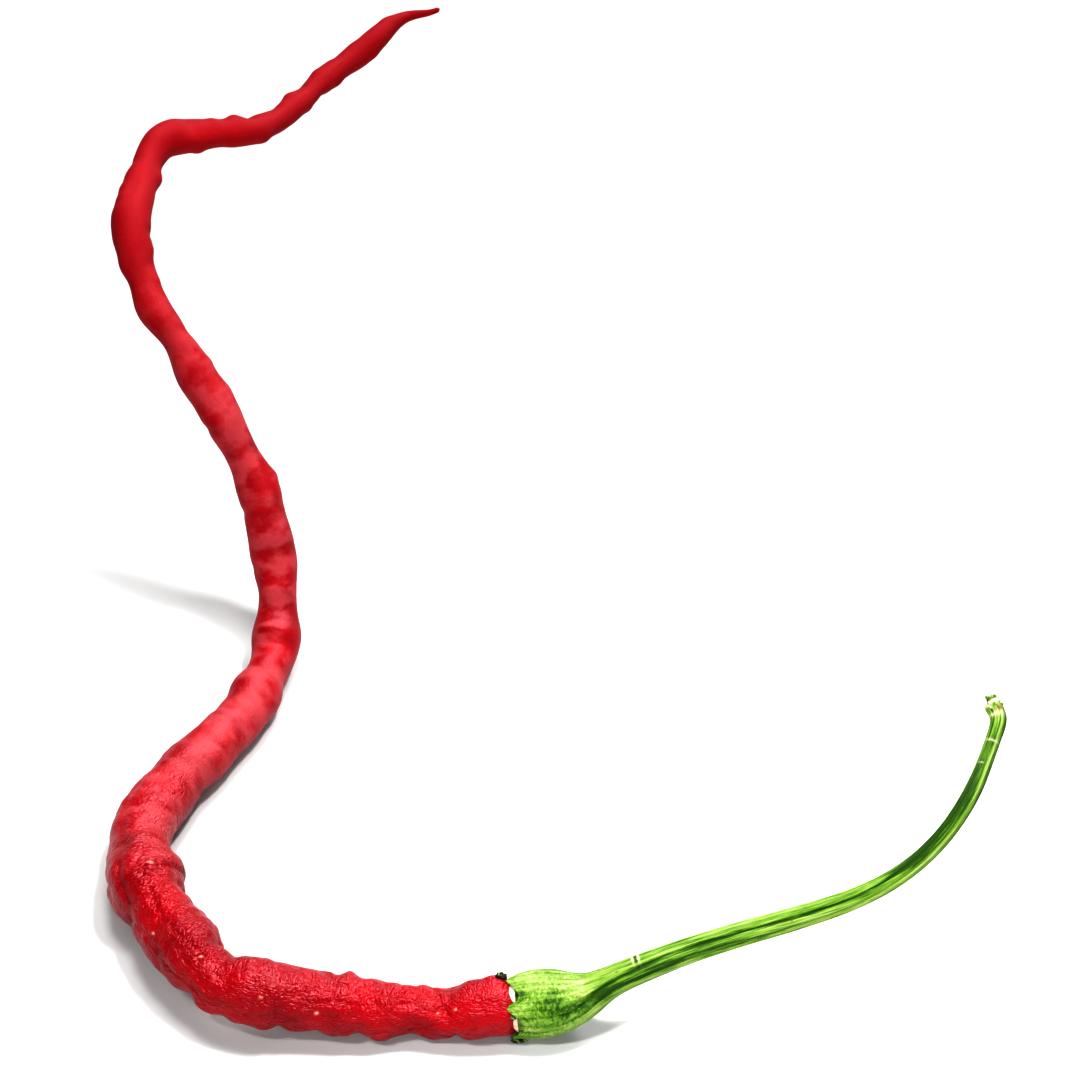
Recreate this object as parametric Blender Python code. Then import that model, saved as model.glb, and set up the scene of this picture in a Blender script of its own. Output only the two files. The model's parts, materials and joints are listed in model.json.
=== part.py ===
"""One long, thin red chilli pepper with its green stalk, lying on a table.

The red pod starts in the calyx, lies on the table round a wide left-hand bend, then rears up off the
table and turns over at the top, so that its tip points back to the right. The green stalk leaves the
calyx to the right and climbs in a slow curve to its broken end.

Frame: +Z up, +X along the stalk, +Y away from the front of the bend. The origin is on the table, under
the middle of the chilli. Sizes are in millimetres, and MM turns them into Blender's metres.
"""

import math
import random

import bmesh
import bpy
import numpy as np
from mathutils import Vector

MM = 0.001
FULL_TURN = 2 * math.pi

# How finely the two solids are divided into facets, and the lines before they are cut into even steps.
POD_SIDES = 22
POD_STEP = 1.6
STALK_SIDES = 20
STALK_STEP = 1.35
LINE_PIECES = 3000

# The pod's middle line, from inside the calyx to the tip: x, y, and the height of its underside.
POD_LINE = (
    (0.1, -84.1, 0.7),
    (-12.3, -84.6, 0.1),
    (-20.9, -84.4, 0.0),
    (-34.6, -83.6, 1.2),
    (-41.5, -82.0, 1.8),
    (-46.6, -77.0, 2.1),
    (-53.5, -65.5, 1.0),
    (-55.3, -58.5, 0.2),
    (-56.1, -51.4, 0.0),
    (-53.9, -44.4, 0.0),
    (-46.9, -32.2, 0.0),
    (-43.8, -26.3, 0.0),
    (-41.5, -19.4, 0.0),
    (-39.9, -11.9, 0.6),
    (-39.7, -5.6, 4.2),
    (-41.6, 2.6, 15.6),
    (-43.2, 6.0, 21.8),
    (-49.7, 11.3, 33.2),
    (-53.0, 14.9, 38.2),
    (-57.0, 18.1, 43.0),
    (-59.8, 23.3, 47.5),
    (-61.7, 28.1, 51.5),
    (-61.5, 34.5, 54.0),
    (-60.4, 41.7, 55.5),
    (-58.1, 47.6, 56.0),
    (-52.3, 51.2, 55.2),
    (-46.4, 54.5, 54.0),
    (-38.1, 66.0, 53.0),
    (-29.9, 77.3, 54.6),
    (-25.7, 81.8, 56.2),
    (-20.8, 86.8, 57.8),
    (-15.6, 88.2, 59.0),
)
# The pod's radius at a distance along it from the calyx rim.
POD_GIRTH = (
    (0, 3.75),
    (5, 3.90),
    (10, 3.65),
    (17, 4.10),
    (26, 4.20),
    (36, 4.45),
    (54, 4.65),
    (64, 4.95),
    (74, 4.50),
    (88, 4.20),
    (102, 4.00),
    (118, 3.55),
    (139, 3.25),
    (153, 2.90),
    (167, 2.85),
    (174, 2.60),
    (181, 2.30),
    (190, 2.80),
    (196, 2.80),
    (202, 2.50),
    (209, 2.70),
    (223, 2.45),
    (230, 2.20),
    (237, 2.25),
    (251, 1.85),
    (258, 1.55),
    (265, 1.00),
    (269, 0.60),
)
TIP_ROUNDING = 0.8
# A little of the underside is pressed flat where the pod and the calyx lie on the table.
SETTLE = 0.12

# The calyx holds the pod's end in a shallow cup. FIT_GAP keeps the two solids apart.
CUP_DEPTH = 3.0
CUP_RADIUS = 3.72
# The cup's inside, from its bottom to its rim: share of its depth, share of its radius.
CUP_PROFILE = ((1.0, 0.42), (0.86, 0.78), (0.55, 0.95), (0.04, 1.0))
FIT_GAP = 0.32
SHOULDER = 2.6
SWELLS_FROM, SWELLS_OVER = 0.85, 1.2
RIM_LOBES = 5
RIM_LOBE_DEPTH = 0.55
RIM_LOBE_TURN = 0.6

# The stalk's middle line, from the calyx rim to the broken end: x, y, height of its underside.
STALK_LINE = (
    (-2.5, -84.1, 0.0),
    (1.7, -83.9, 0.0),
    (5.6, -83.9, 1.6),
    (9.4, -83.5, 5.0),
    (13.1, -83.2, 7.6),
    (20.7, -81.4, 10.2),
    (36.8, -79.3, 15.4),
    (48.3, -77.3, 20.4),
    (54.8, -73.8, 24.6),
    (59.6, -68.3, 28.8),
    (63.0, -61.3, 32.4),
    (63.6, -58.9, 33.4),
    (62.8, -57.0, 34.0),
)
# The calyx and stalk's radius at a distance along them from the rim.
STALK_GIRTH = (
    (0, 4.20),
    (4, 4.60),
    (8, 4.00),
    (12, 2.70),
    (17, 2.10),
    (29, 1.82),
    (42, 1.65),
    (55, 1.35),
    (63, 1.22),
    (72, 1.18),
    (80, 1.08),
    (84, 1.25),
)
STALK_RIDGES = 5
RIDGE_HEIGHT = 0.07
RIDGE_TWIST = 0.012
RIDGES_FROM, RIDGES_OVER = 2.0, 8.0
LEAST_RIDGE = 0.25
BROKEN_END_HOLLOW = 0.35

# Swellings and folds that show plainly: distance along the pod, clock angle round it in degrees, height
# (below zero for a fold), and length. Angle 0 is the inside of the bend, 90 the top, 180 the outside.
LANDMARKS = (
    (8.6, 75, -0.40, 1.3),
    (7.8, 235, -0.30, 1.0),
    (10.4, 235, 0.25, 1.6),
    (16.8, 235, 0.28, 2.2),
    (20.6, 235, -0.30, 1.0),
    (25.5, 235, 0.22, 2.4),
    (31.2, 230, -0.30, 0.9),
    (34.5, 60, 0.30, 3.0),
    (38.0, 220, 0.30, 3.4),
    (51.5, 20, 0.45, 3.4),
    (56.8, 175, -0.75, 1.9),
    (57.8, 15, -0.70, 1.8),
    (63.0, 5, 0.60, 2.6),
    (64.5, 190, 0.50, 3.2),
    (71.0, 10, -0.50, 2.2),
    (84.5, 170, -0.25, 3.0),
    (123.0, 0, 0.25, 3.4),
    (127.5, 180, -0.25, 3.0),
    (163.5, 180, 0.25, 3.0),
    (170.0, 180, -0.25, 1.8),
    (170.0, 0, -0.25, 1.4),
    (176.0, 180, 0.45, 2.8),
    (189.5, 180, 0.25, 2.6),
    (197.5, 0, 0.25, 1.6),
    (201.5, 180, -0.45, 1.6),
    (208.0, 120, 0.20, 2.6),
    (221.5, 180, 0.22, 1.8),
    (231.5, 180, 0.22, 1.3),
    (242.0, 0, -0.22, 1.4),
    (259.5, 180, 0.18, 1.8),
)
LANDMARK_WIDTH = 0.9
# Seeds push out smaller swellings everywhere, turning round the pod by a steady angle with some chance.
SEED_PITCH = 3.1
SEED_PITCH_CHANCE = 0.3
SEED_TURN = 137.5
SEED_TURN_CHANCE = 35
SEEDS_FROM, SEEDS_TO = 8.0, 260.0
SEED_HEIGHT = 0.075
SEED_LEAST, SEED_MOST = -0.6, 1.0
SEED_LENGTH = 2.5
SEED_WIDTH = 0.85
SEED_DRAW = 7

RED = (0.60, 0.012, 0.018, 1.0)
GREEN = (0.20, 0.36, 0.045, 1.0)


def spline(knots, values, at):
    """Natural cubic spline through values at knots, read at the places in at."""
    knots = np.asarray(knots, float)
    values = np.asarray(values, float).reshape(len(knots), -1)
    gaps = np.diff(knots)
    slopes = np.diff(values, axis=0) / gaps[:, None]
    system = np.eye(len(knots))
    right = np.zeros_like(values)
    for i in range(1, len(knots) - 1):
        system[i, i - 1 : i + 2] = gaps[i - 1], 2 * (gaps[i - 1] + gaps[i]), gaps[i]
        right[i] = 6 * (slopes[i] - slopes[i - 1])
    bend = np.linalg.solve(system, right)
    i = np.clip(np.searchsorted(knots, at) - 1, 0, len(gaps) - 1)
    gap = gaps[i][:, None]
    a = (knots[i + 1] - at)[:, None]
    b = (at - knots[i])[:, None]
    cubic = (bend[i] * a**3 + bend[i + 1] * b**3) / (6 * gap)
    first = (values[i] / gap - bend[i] * gap / 6) * a
    second = (values[i + 1] / gap - bend[i + 1] * gap / 6) * b
    return cubic + first + second


def girth(table, along):
    """Radius from a table of (distance, radius), held level outside it."""
    places = [row[0] for row in table]
    held = np.clip(along, places[0], places[-1])
    return spline(places, [row[1] for row in table], held)[:, 0]


def run(points):
    """Distance of each point from the first, along the line through them."""
    steps = np.linalg.norm(np.diff(points, axis=0), axis=1)
    return np.concatenate([[0], np.cumsum(steps)])


def middle_line(route, table, start, step):
    """Points evenly spaced on a smooth line, and each one's distance along it, beginning at start."""
    rows = np.array(route, float)
    chord = run(rows)
    fine = spline(chord, rows, np.linspace(0, chord[-1], LINE_PIECES))
    fine[:, 2] += girth(table, run(fine) + start) - SETTLE
    length = run(fine)
    even = np.linspace(0, length[-1], round(length[-1] / step) + 1)
    points = np.stack([np.interp(even, length, column) for column in fine.T], axis=1)
    return points, even + start


def carried_frames(points):
    """Side and up vectors at each point, carried along the line without twist from +Z up."""
    ahead = np.gradient(points, axis=0)
    ahead /= np.linalg.norm(ahead, axis=1)[:, None]
    up = np.array([0.0, 0.0, 1.0])
    sides, ups = [], []
    for direction in ahead:
        up = up - direction * (up @ direction)
        up /= np.linalg.norm(up)
        ups.append(up)
        sides.append(np.cross(direction, up))
    return np.array(sides), np.array(ups)


def angle_from(angles, centre):
    """Signed angle from centre, between minus and plus half a turn."""
    return (angles - centre + math.pi) % FULL_TURN - math.pi


def mound(along, angles, place, turn, length, width):
    """A soft round mound of height 1 on the skin, at one distance and angle."""
    across = angle_from(angles, turn) / width
    return np.exp(-(((along - place) / length) ** 2) - across**2)


def seed_swellings():
    """Where seeds push the skin out: distance, angle and size factor."""
    chance = random.Random(SEED_DRAW)
    found, along, turn = [], SEEDS_FROM, 0.0
    while along < SEEDS_TO:
        turn += math.radians(SEED_TURN + chance.uniform(-SEED_TURN_CHANCE, SEED_TURN_CHANCE))
        found.append((along, turn, chance.uniform(SEED_LEAST, SEED_MOST)))
        along += SEED_PITCH * (1 + chance.uniform(-SEED_PITCH_CHANCE, SEED_PITCH_CHANCE))
    return found


def pod_relief(along, angles, radius):
    """Height of the skin over its even round, for every distance along and every angle."""
    along, angles, radius = along[:, None], angles[None, :], radius[:, None]
    height = np.zeros(np.broadcast_shapes(along.shape, angles.shape))
    for place, turn, size in seed_swellings():
        height += size * SEED_HEIGHT * radius * mound(along, angles, place, turn, SEED_LENGTH, SEED_WIDTH)
    for place, clock, rise, length in LANDMARKS:
        height += rise * mound(along, angles, place, math.radians(clock), length, LANDMARK_WIDTH)
    return height


def ring_angles(sides):
    """Evenly spaced angles round a ring."""
    return np.arange(sides) * FULL_TURN / sides


def rings_round(points, frames, radii, angles):
    """Points round the line: one ring for each point, with radii[ring, angle]."""
    side, up = frames
    out = np.cos(angles)[None, :, None] * side[:, None, :] + np.sin(angles)[None, :, None] * up[:, None, :]
    return points[:, None, :] + radii[:, :, None] * out


def rounding(distance, reach):
    """Share of the radius left at a distance into a round end of that reach."""
    return np.sqrt(np.clip(1 - (np.maximum(distance, 0) / reach) ** 2, 0, 1))


def pod_rings():
    """The pod's skin as rings, with the middle points of its two ends."""
    points, along = middle_line(POD_LINE, POD_GIRTH, -SHOULDER, POD_STEP)
    angles = ring_angles(POD_SIDES)
    radius = girth(POD_GIRTH, along)
    radii = radius[:, None] + pod_relief(along, angles, radius)
    in_cup = CUP_RADIUS - FIT_GAP
    free = np.clip((along - SWELLS_FROM) / SWELLS_OVER, 0, 1)[:, None]
    radii = in_cup + (radii - in_cup) * free
    ends = rounding(-along, SHOULDER) * rounding(along - along[-1] + TIP_ROUNDING, TIP_ROUNDING)
    rings = rings_round(points, carried_frames(points), radii * ends[:, None], angles)
    return rings[1:-1], points[0], points[-1]


def stalk_skin(points, along, frames, angles):
    """The calyx and stalk's outer skin: ribs on the calyx that run on as ridges of the stalk."""
    radius = girth(STALK_GIRTH, along)[:, None]
    twist = RIDGE_TWIST * along[:, None]
    ribs = np.cos(STALK_RIDGES * (angles[None, :] + twist))
    strength = np.clip((along - RIDGES_FROM) / RIDGES_OVER, LEAST_RIDGE, 1)[:, None]
    return rings_round(points, frames, radius * (1 + RIDGE_HEIGHT * strength * ribs), angles)


def stalk_rings():
    """The stalk's skin as rings: up out of the cup, over the calyx rim and along to the broken end."""
    points, along = middle_line(STALK_LINE, STALK_GIRTH, 0.0, STALK_STEP)
    frames = carried_frames(points)
    angles = ring_angles(STALK_SIDES)
    outer = stalk_skin(points, along, frames, angles)
    axis = points[1] - points[0]
    axis /= np.linalg.norm(axis)
    lobes = RIM_LOBE_DEPTH * (0.5 + 0.5 * np.cos(RIM_LOBES * angles + RIM_LOBE_TURN))[:, None] * axis
    first_frame = frames[0][:1], frames[1][:1]
    cup = []
    for depth, share in CUP_PROFILE:
        middle = points[:1] + axis * CUP_DEPTH * depth
        radii = np.full((1, STALK_SIDES), CUP_RADIUS * share)
        cup.append(rings_round(middle, first_frame, radii, angles)[0])
    cup[-1] = cup[-1] - lobes
    outer[0] -= lobes
    last_axis = points[-1] - points[-2]
    last_axis /= np.linalg.norm(last_axis)
    rings = np.concatenate([np.array(cup), outer])
    return rings, points[0] + axis * CUP_DEPTH, points[-1] - last_axis * BROKEN_END_HOLLOW


def skin_to_mesh(name, rings, first_end, last_end):
    """A closed mesh from rings of points, with a middle point closing each end, flat on the table."""
    bm = bmesh.new()

    def place(point):
        return bm.verts.new(Vector((point[0], point[1], max(point[2], 0.0))) * MM)

    ring_verts = [[place(point) for point in ring] for ring in rings]
    first, last = place(first_end), place(last_end)
    for k in range(rings.shape[1]):
        for near, far in zip(ring_verts, ring_verts[1:]):
            bm.faces.new((near[k - 1], near[k], far[k], far[k - 1]))
        bm.faces.new((first, ring_verts[0][k], ring_verts[0][k - 1]))
        bm.faces.new((last, ring_verts[-1][k - 1], ring_verts[-1][k]))
    bmesh.ops.recalc_face_normals(bm, faces=bm.faces)
    mesh = bpy.data.meshes.new(name)
    bm.to_mesh(mesh)
    bm.free()
    mesh.shade_smooth()
    return mesh


def finish(name, colour, roughness):
    """A plain Principled material."""
    material = bpy.data.materials.new(name)
    material.use_nodes = True
    shader = material.node_tree.nodes["Principled BSDF"]
    shader.inputs["Base Color"].default_value = colour
    shader.inputs["Roughness"].default_value = roughness
    shader.inputs["Metallic"].default_value = 0.0
    return material


def add_piece(name, skin, material, parent):
    """One named solid from its rings and end points."""
    mesh = skin_to_mesh(name, *skin)
    mesh.materials.append(material)
    piece = bpy.data.objects.new(name, mesh)
    piece.parent = parent
    bpy.context.scene.collection.objects.link(piece)


def main():
    """Clears the scene and makes the pod and the stalk."""
    for old in list(bpy.data.objects):
        bpy.data.objects.remove(old, do_unlink=True)
    chilli = bpy.data.objects.new("chilli", None)
    bpy.context.scene.collection.objects.link(chilli)
    add_piece("pod", pod_rings(), finish("red_skin", RED, 0.42), chilli)
    add_piece("stalk", stalk_rings(), finish("green_stalk", GREEN, 0.6), chilli)


main()
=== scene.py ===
"""A long red chilli pepper with its green calyx and stalk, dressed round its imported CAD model.

The red pod starts in the calyx, lies on the table round a wide left-hand bend, then rears up and turns
over at the top, so that its tip points back to the right. Its front stretch and bend are creased and
leathery, and its raised neck is smooth and softly lumpy. The stalk climbs to the right in a slow curve.

The tables below give distances along the pod and the stalk, radii and heights in millimetres. Clock
angles go round them in degrees. On the pod 0 is the inside of the bend, 90 the top and 180 the outside.
On the stalk 0 is the near side, 90 the top and 180 the far side.
"""

import json
import math
import random

import bmesh
import bpy
import numpy as np
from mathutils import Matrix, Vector
from mathutils.noise import turbulence

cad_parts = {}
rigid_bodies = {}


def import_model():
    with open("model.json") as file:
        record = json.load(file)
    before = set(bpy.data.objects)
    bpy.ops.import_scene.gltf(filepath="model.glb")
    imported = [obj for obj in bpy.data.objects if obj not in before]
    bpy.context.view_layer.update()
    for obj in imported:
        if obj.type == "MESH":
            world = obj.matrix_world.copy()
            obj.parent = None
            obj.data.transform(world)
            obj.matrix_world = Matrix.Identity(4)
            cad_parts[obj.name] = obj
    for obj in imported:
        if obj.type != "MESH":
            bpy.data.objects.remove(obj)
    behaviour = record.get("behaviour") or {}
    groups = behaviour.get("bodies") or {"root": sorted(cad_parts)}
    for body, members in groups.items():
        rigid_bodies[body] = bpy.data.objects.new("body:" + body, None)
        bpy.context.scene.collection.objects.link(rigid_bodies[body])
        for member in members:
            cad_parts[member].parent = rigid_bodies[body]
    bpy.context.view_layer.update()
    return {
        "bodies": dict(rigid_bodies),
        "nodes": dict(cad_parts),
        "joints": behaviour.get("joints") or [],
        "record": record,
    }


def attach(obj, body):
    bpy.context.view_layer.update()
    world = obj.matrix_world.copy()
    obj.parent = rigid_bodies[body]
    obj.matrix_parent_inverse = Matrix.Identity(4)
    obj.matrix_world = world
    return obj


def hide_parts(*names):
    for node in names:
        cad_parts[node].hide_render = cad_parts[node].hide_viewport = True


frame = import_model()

bl_info = {
    "name": "Long Red Chilli",
    "version": (1, 0, 0),
    "blender": (4, 5, 0),
    "location": "3D View > Sidebar > Chilli",
    "description": "Makes the pod, calyx and stalk of one long red chilli, and its stage",
    "category": "Add Mesh",
}

BAKE_MAP = "OFBake"
MM = 0.001
FULL_TURN = 2 * math.pi
LINE_PIECES = 6000
LATTICE_REACH = 1.9
FAR_OFF = 1e9

# The pod's middle line, from inside the calyx to the tip: x, y, and the height of its underside.
POD_LINE = (
    (0.1, -84.1, 0.7),
    (-12.3, -84.6, 0.1),
    (-20.9, -84.4, 0.0),
    (-34.6, -83.6, 1.2),
    (-41.5, -82.0, 1.8),
    (-46.6, -77.0, 2.1),
    (-53.5, -65.5, 1.0),
    (-55.3, -58.5, 0.2),
    (-56.1, -51.4, 0.0),
    (-53.9, -44.4, 0.0),
    (-46.9, -32.2, 0.0),
    (-43.8, -26.3, 0.0),
    (-41.5, -19.4, 0.0),
    (-39.9, -11.9, 0.6),
    (-39.7, -5.6, 4.2),
    (-41.6, 2.6, 15.6),
    (-43.2, 6.0, 21.8),
    (-49.7, 11.3, 33.2),
    (-53.0, 14.9, 38.2),
    (-57.0, 18.1, 43.0),
    (-59.8, 23.3, 47.5),
    (-61.7, 28.1, 51.5),
    (-61.5, 34.5, 54.0),
    (-60.4, 41.7, 55.5),
    (-58.1, 47.6, 56.0),
    (-52.3, 51.2, 55.2),
    (-46.4, 54.5, 54.0),
    (-38.1, 66.0, 53.0),
    (-29.9, 77.3, 54.6),
    (-25.7, 81.8, 56.2),
    (-20.8, 86.8, 57.8),
    (-15.6, 88.2, 59.0),
)
# The pod's radius at a distance along it from the calyx rim.
POD_GIRTH = (
    (0, 3.75),
    (5, 3.90),
    (10, 3.65),
    (17, 4.10),
    (26, 4.20),
    (36, 4.45),
    (54, 4.65),
    (64, 4.95),
    (74, 4.50),
    (88, 4.20),
    (102, 4.00),
    (118, 3.55),
    (139, 3.25),
    (153, 2.90),
    (167, 2.85),
    (174, 2.60),
    (181, 2.30),
    (190, 2.80),
    (196, 2.80),
    (202, 2.50),
    (209, 2.70),
    (223, 2.45),
    (230, 2.20),
    (237, 2.25),
    (251, 1.85),
    (258, 1.55),
    (265, 1.00),
    (269, 0.60),
)
# Distance between the pod's rings at a distance along it: close where the skin is creased.
POD_SPACING = ((0, 0.26), (92, 0.28), (125, 0.40), (250, 0.42), (269, 0.25))
TIP_ROUNDING = 0.8
# How far the undersides are lowered, so that their lowest places press flat on the table.
SETTLE = 0.12

# Where the pod's end goes into the calyx.
CUP_DEPTH = 3.0
CUP_RADIUS = 3.72
CUP_PROFILE = ((1.0, 0.42), (0.86, 0.78), (0.55, 0.95), (0.2, 1.0))
CUP_SLACK = 0.12
LIP_SLACK = 0.22
LIP_INSET = 0.10
FIT_GAP = 0.32
SHOULDER = 2.6
SWELLS_FROM, SWELLS_OVER = -0.3, 1.4

# Swellings and folds: distance along the pod, clock angle, height (below zero for a fold), and length.
LANDMARKS = (
    (1.9, 50, 0.70, 2.4),
    (2.2, 232, -0.60, 3.0),
    (8.6, 75, -0.40, 1.3),
    (7.7, 235, -0.60, 0.9),
    (10.9, 235, 0.35, 1.5),
    (13.7, 235, -0.20, 0.8),
    (17.0, 235, 0.40, 1.8),
    (20.6, 235, -0.60, 1.0),
    (24.0, 235, 0.32, 1.5),
    (26.4, 235, -0.15, 0.7),
    (28.6, 235, 0.15, 1.2),
    (31.3, 232, -0.60, 0.9),
    (34.5, 228, 0.35, 1.8),
    (38.3, 224, -0.15, 0.8),
    (40.2, 222, 0.40, 1.6),
    (42.7, 215, -0.50, 1.1),
    (46.0, 212, 0.20, 1.6),
    (34.5, 60, 0.30, 3.0),
    (51.5, 20, 0.45, 3.4),
    (57.6, 175, -0.95, 1.7),
    (57.8, 15, -0.80, 1.6),
    (62.0, 185, 0.10, 1.6),
    (64.4, 188, -0.45, 0.9),
    (64.0, 5, 0.70, 2.0),
    (68.0, 188, 0.20, 2.2),
    (71.0, 10, -0.50, 2.2),
    (84.5, 170, -0.25, 3.0),
    (123.0, 0, 0.25, 3.4),
    (127.5, 180, -0.25, 3.0),
    (163.5, 180, 0.25, 3.0),
    (170.0, 180, -0.25, 1.8),
    (170.0, 0, -0.25, 1.4),
    (176.0, 180, 0.45, 2.8),
    (189.5, 180, 0.25, 2.6),
    (201.5, 180, -0.45, 1.6),
)
LANDMARK_WIDTH = 0.9
# Smaller forms of the skin: distance, clock angle, height, length, and width in radians.
SMALL_FORMS = (
    (22.4, 50, 0.40, 0.9, 0.5),
    (24.1, 55, -0.18, 0.7, 0.6),
    (20.7, 60, -0.22, 0.8, 0.6),
    (5.8, 55, 0.22, 1.0, 0.4),
    (16.2, 52, 0.18, 1.1, 0.5),
    (13.2, 52, -0.14, 0.8, 0.5),
    (28.6, 55, 0.20, 1.3, 0.5),
    (38.0, 60, 0.20, 1.2, 0.5),
    (40.0, 70, -0.28, 2.0, 0.7),
    (44.0, 35, -0.35, 1.0, 0.6),
    (47.4, 20, 0.25, 1.2, 0.5),
    (49.8, 15, -0.20, 0.8, 0.5),
    (48.0, 185, -0.25, 0.8, 0.5),
    (51.0, 185, 0.18, 1.0, 0.5),
    (53.2, 182, -0.20, 0.7, 0.5),
    (98.5, 87, 0.32, 1.6, 0.9),
    (100.5, 105, -0.36, 1.2, 1.0),
    (99.5, 42, -0.32, 2.0, 0.5),
    (102.0, 62, 0.30, 1.3, 0.9),
    (105.0, 60, -0.34, 1.2, 1.1),
    (108.5, 69, 0.34, 1.5, 1.0),
    (111.5, 72, -0.34, 1.1, 1.1),
    (114.0, 62, 0.30, 1.2, 1.0),
    (117.0, 85, -0.32, 1.4, 1.0),
    (120.0, 72, 0.36, 1.6, 1.0),
    (123.7, 85, -0.38, 1.6, 1.2),
    (127.5, 72, 0.34, 1.8, 1.0),
    (131.6, 168, -0.24, 0.9, 0.5),
    (133.8, 95, -0.26, 1.6, 0.8),
    (136.2, 45, 0.26, 1.3, 0.8),
    (139.0, 80, -0.24, 1.4, 0.7),
    (140.5, 171, -0.24, 0.9, 0.5),
    (141.0, 12, -0.20, 0.9, 0.4),
    (142.8, 70, 0.20, 1.2, 0.6),
    (145.2, 356, 0.34, 0.9, 0.6),
    (146.2, 97, -0.32, 1.6, 0.8),
    (151.8, 42, 0.26, 1.8, 0.7),
    (156.0, 160, -0.28, 0.9, 0.6),
    (158.2, 88, -0.26, 1.8, 0.8),
    (159.8, 355, 0.24, 1.6, 0.6),
    (165.0, 350, 0.28, 1.1, 0.6),
    (167.6, 88, -0.28, 1.4, 0.8),
    (173.0, 45, 0.28, 1.6, 0.7),
    (180.1, 15, 0.22, 0.9, 0.5),
    (182.6, 22, -0.26, 0.9, 0.5),
    (183.6, 160, 0.70, 2.0, 0.7),
    (185.1, 355, 0.28, 1.0, 0.5),
    (188.1, 350, -0.36, 1.0, 0.6),
    (189.1, 147, -0.40, 1.8, 0.7),
    (192.6, 130, -0.20, 0.9, 0.6),
    (194.6, 85, -0.26, 3.2, 0.4),
    (196.1, 147, 0.26, 1.0, 0.5),
    (200.6, 335, 0.80, 1.8, 0.7),
    (202.1, 110, -0.22, 1.1, 0.6),
    (207.0, 95, 0.22, 1.2, 0.7),
    (213.1, 66, -0.62, 1.3, 0.8),
    (214.6, 306, 0.46, 1.2, 0.7),
    (217.1, 90, 0.36, 1.1, 0.6),
    (218.4, 335, -0.36, 1.2, 0.7),
    (221.1, 108, 0.58, 1.2, 0.7),
    (224.4, 104, -0.52, 1.2, 0.7),
    (225.6, 325, 0.42, 1.3, 0.7),
    (231.0, 120, -0.20, 1.2, 0.7),
    (235.6, 130, 0.38, 1.1, 0.7),
    (237.3, 315, 0.30, 1.1, 0.7),
    (239.0, 120, -0.26, 1.2, 0.7),
    (241.4, 318, -0.28, 1.1, 0.7),
    (243.4, 120, 0.22, 1.1, 0.7),
    (245.8, 320, 0.26, 1.1, 0.7),
    (248.6, 122, -0.20, 1.2, 0.7),
    (252.4, 124, 0.18, 1.2, 0.7),
    (254.8, 315, 0.16, 1.2, 0.7),
    (260.6, 126, 0.22, 1.3, 0.7),
)
# Creases: depth, half width, and a route of distance and clock angle over the skin.
POD_CREASES = (
    (0.22, 0.45, ((10.9, 30), (10.6, 60), (9.9, 90), (9.4, 117), (8.4, 144), (7.9, 192), (7.9, 240))),
    (0.10, 0.30, ((4.6, 150), (7.0, 158), (9.4, 160), (12.0, 166))),
    (0.10, 0.30, ((15.0, 118), (19.0, 128), (24.0, 126), (28.0, 132))),
    (0.36, 0.45, ((57.2, 200), (57.5, 175), (57.9, 150), (60.0, 138), (63.4, 130))),
    (0.16, 0.40, ((61.8, 140), (63.2, 118), (63.2, 96), (64.6, 72), (66.0, 50))),
    (0.50, 0.34, ((60.4, 70), (61.2, 52), (61.8, 30), (62.6, 2))),
    (0.26, 0.34, ((42.6, 120), (43.4, 90), (44.2, 60), (44.6, 30))),
    (0.20, 0.40, ((52.8, 70), (53.4, 50), (54.0, 20), (54.2, -10))),
    (0.16, 0.35, ((57.4, 62), (58.4, 40), (58.8, 14), (58.6, -12))),
    (0.14, 0.40, ((43.4, 100), (47.0, 108), (51.0, 112), (54.6, 104), (58.4, 96))),
    (0.12, 0.35, ((33.6, 84), (37.2, 92), (41.0, 88), (43.6, 80))),
    (0.16, 0.40, ((46.2, 168), (49.6, 160), (53.0, 158), (56.2, 166))),
    (0.12, 0.35, ((38.6, 176), (42.0, 168), (46.0, 170))),
    (0.12, 0.35, ((30.2, 176), (33.4, 168), (36.0, 170))),
    (0.12, 0.40, ((66.5, 110), (70.0, 122), (75.0, 118), (80.0, 126))),
    (0.12, 0.40, ((68.0, 60), (73.0, 72), (78.0, 66), (84.0, 74))),
    (0.14, 0.40, ((20.0, 250), (26.0, 262), (33.0, 258), (40.0, 270))),
    (0.14, 0.40, ((14.0, 320), (20.0, 332), (27.0, 326), (36.0, 338))),
    (0.14, 0.40, ((48.0, 300), (54.0, 312), (60.0, 306), (68.0, 316))),
)
# Seeds push out smaller swellings everywhere, turning round the pod by a steady angle with some chance.
SEED_PITCH = 3.1
SEED_PITCH_CHANCE = 0.3
SEED_TURN = 137.5
SEED_TURN_CHANCE = 35
SEEDS_FROM, SEEDS_TO = 8.0, 260.0
SEED_HEIGHT = 0.075
SEED_LEAST, SEED_MOST = -0.6, 1.0
SEED_LENGTH = 2.5
SEED_WIDTH = 0.85
SEED_DRAW = 7

# How leathery the skin is at a distance along the pod, from 0 smooth to 1.
LEATHER = ((0, 0.85), (12, 1.0), (68, 1.0), (80, 0.65), (94, 0.24), (112, 0.12), (269, 0.10))
# How deep the red is at a distance along the pod, from 0 bright to 1.
DEEP_RED = ((0, 0.15), (70, 0.0), (146, 0.15), (166, 0.55), (182, 0.9), (269, 1.0))
# Share of the painted pink sheen along the pod: a painted highlight on the bend and the middle stretch.
PAINTED_SHEEN = ((0, 0.0), (55, 0.0), (74, 1.0), (158, 0.9), (172, 0.4), (184, 0.12), (194, 0.0))
# Wrinkled layers: pitch along, cells round, height as a share of the wrinkle depth, and a draw.
WRINKLE_LAYERS = ((3.4, 8, 0.9, 31), (1.5, 15, 0.4, 32), (0.9, 30, 0.45, 33))
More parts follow.
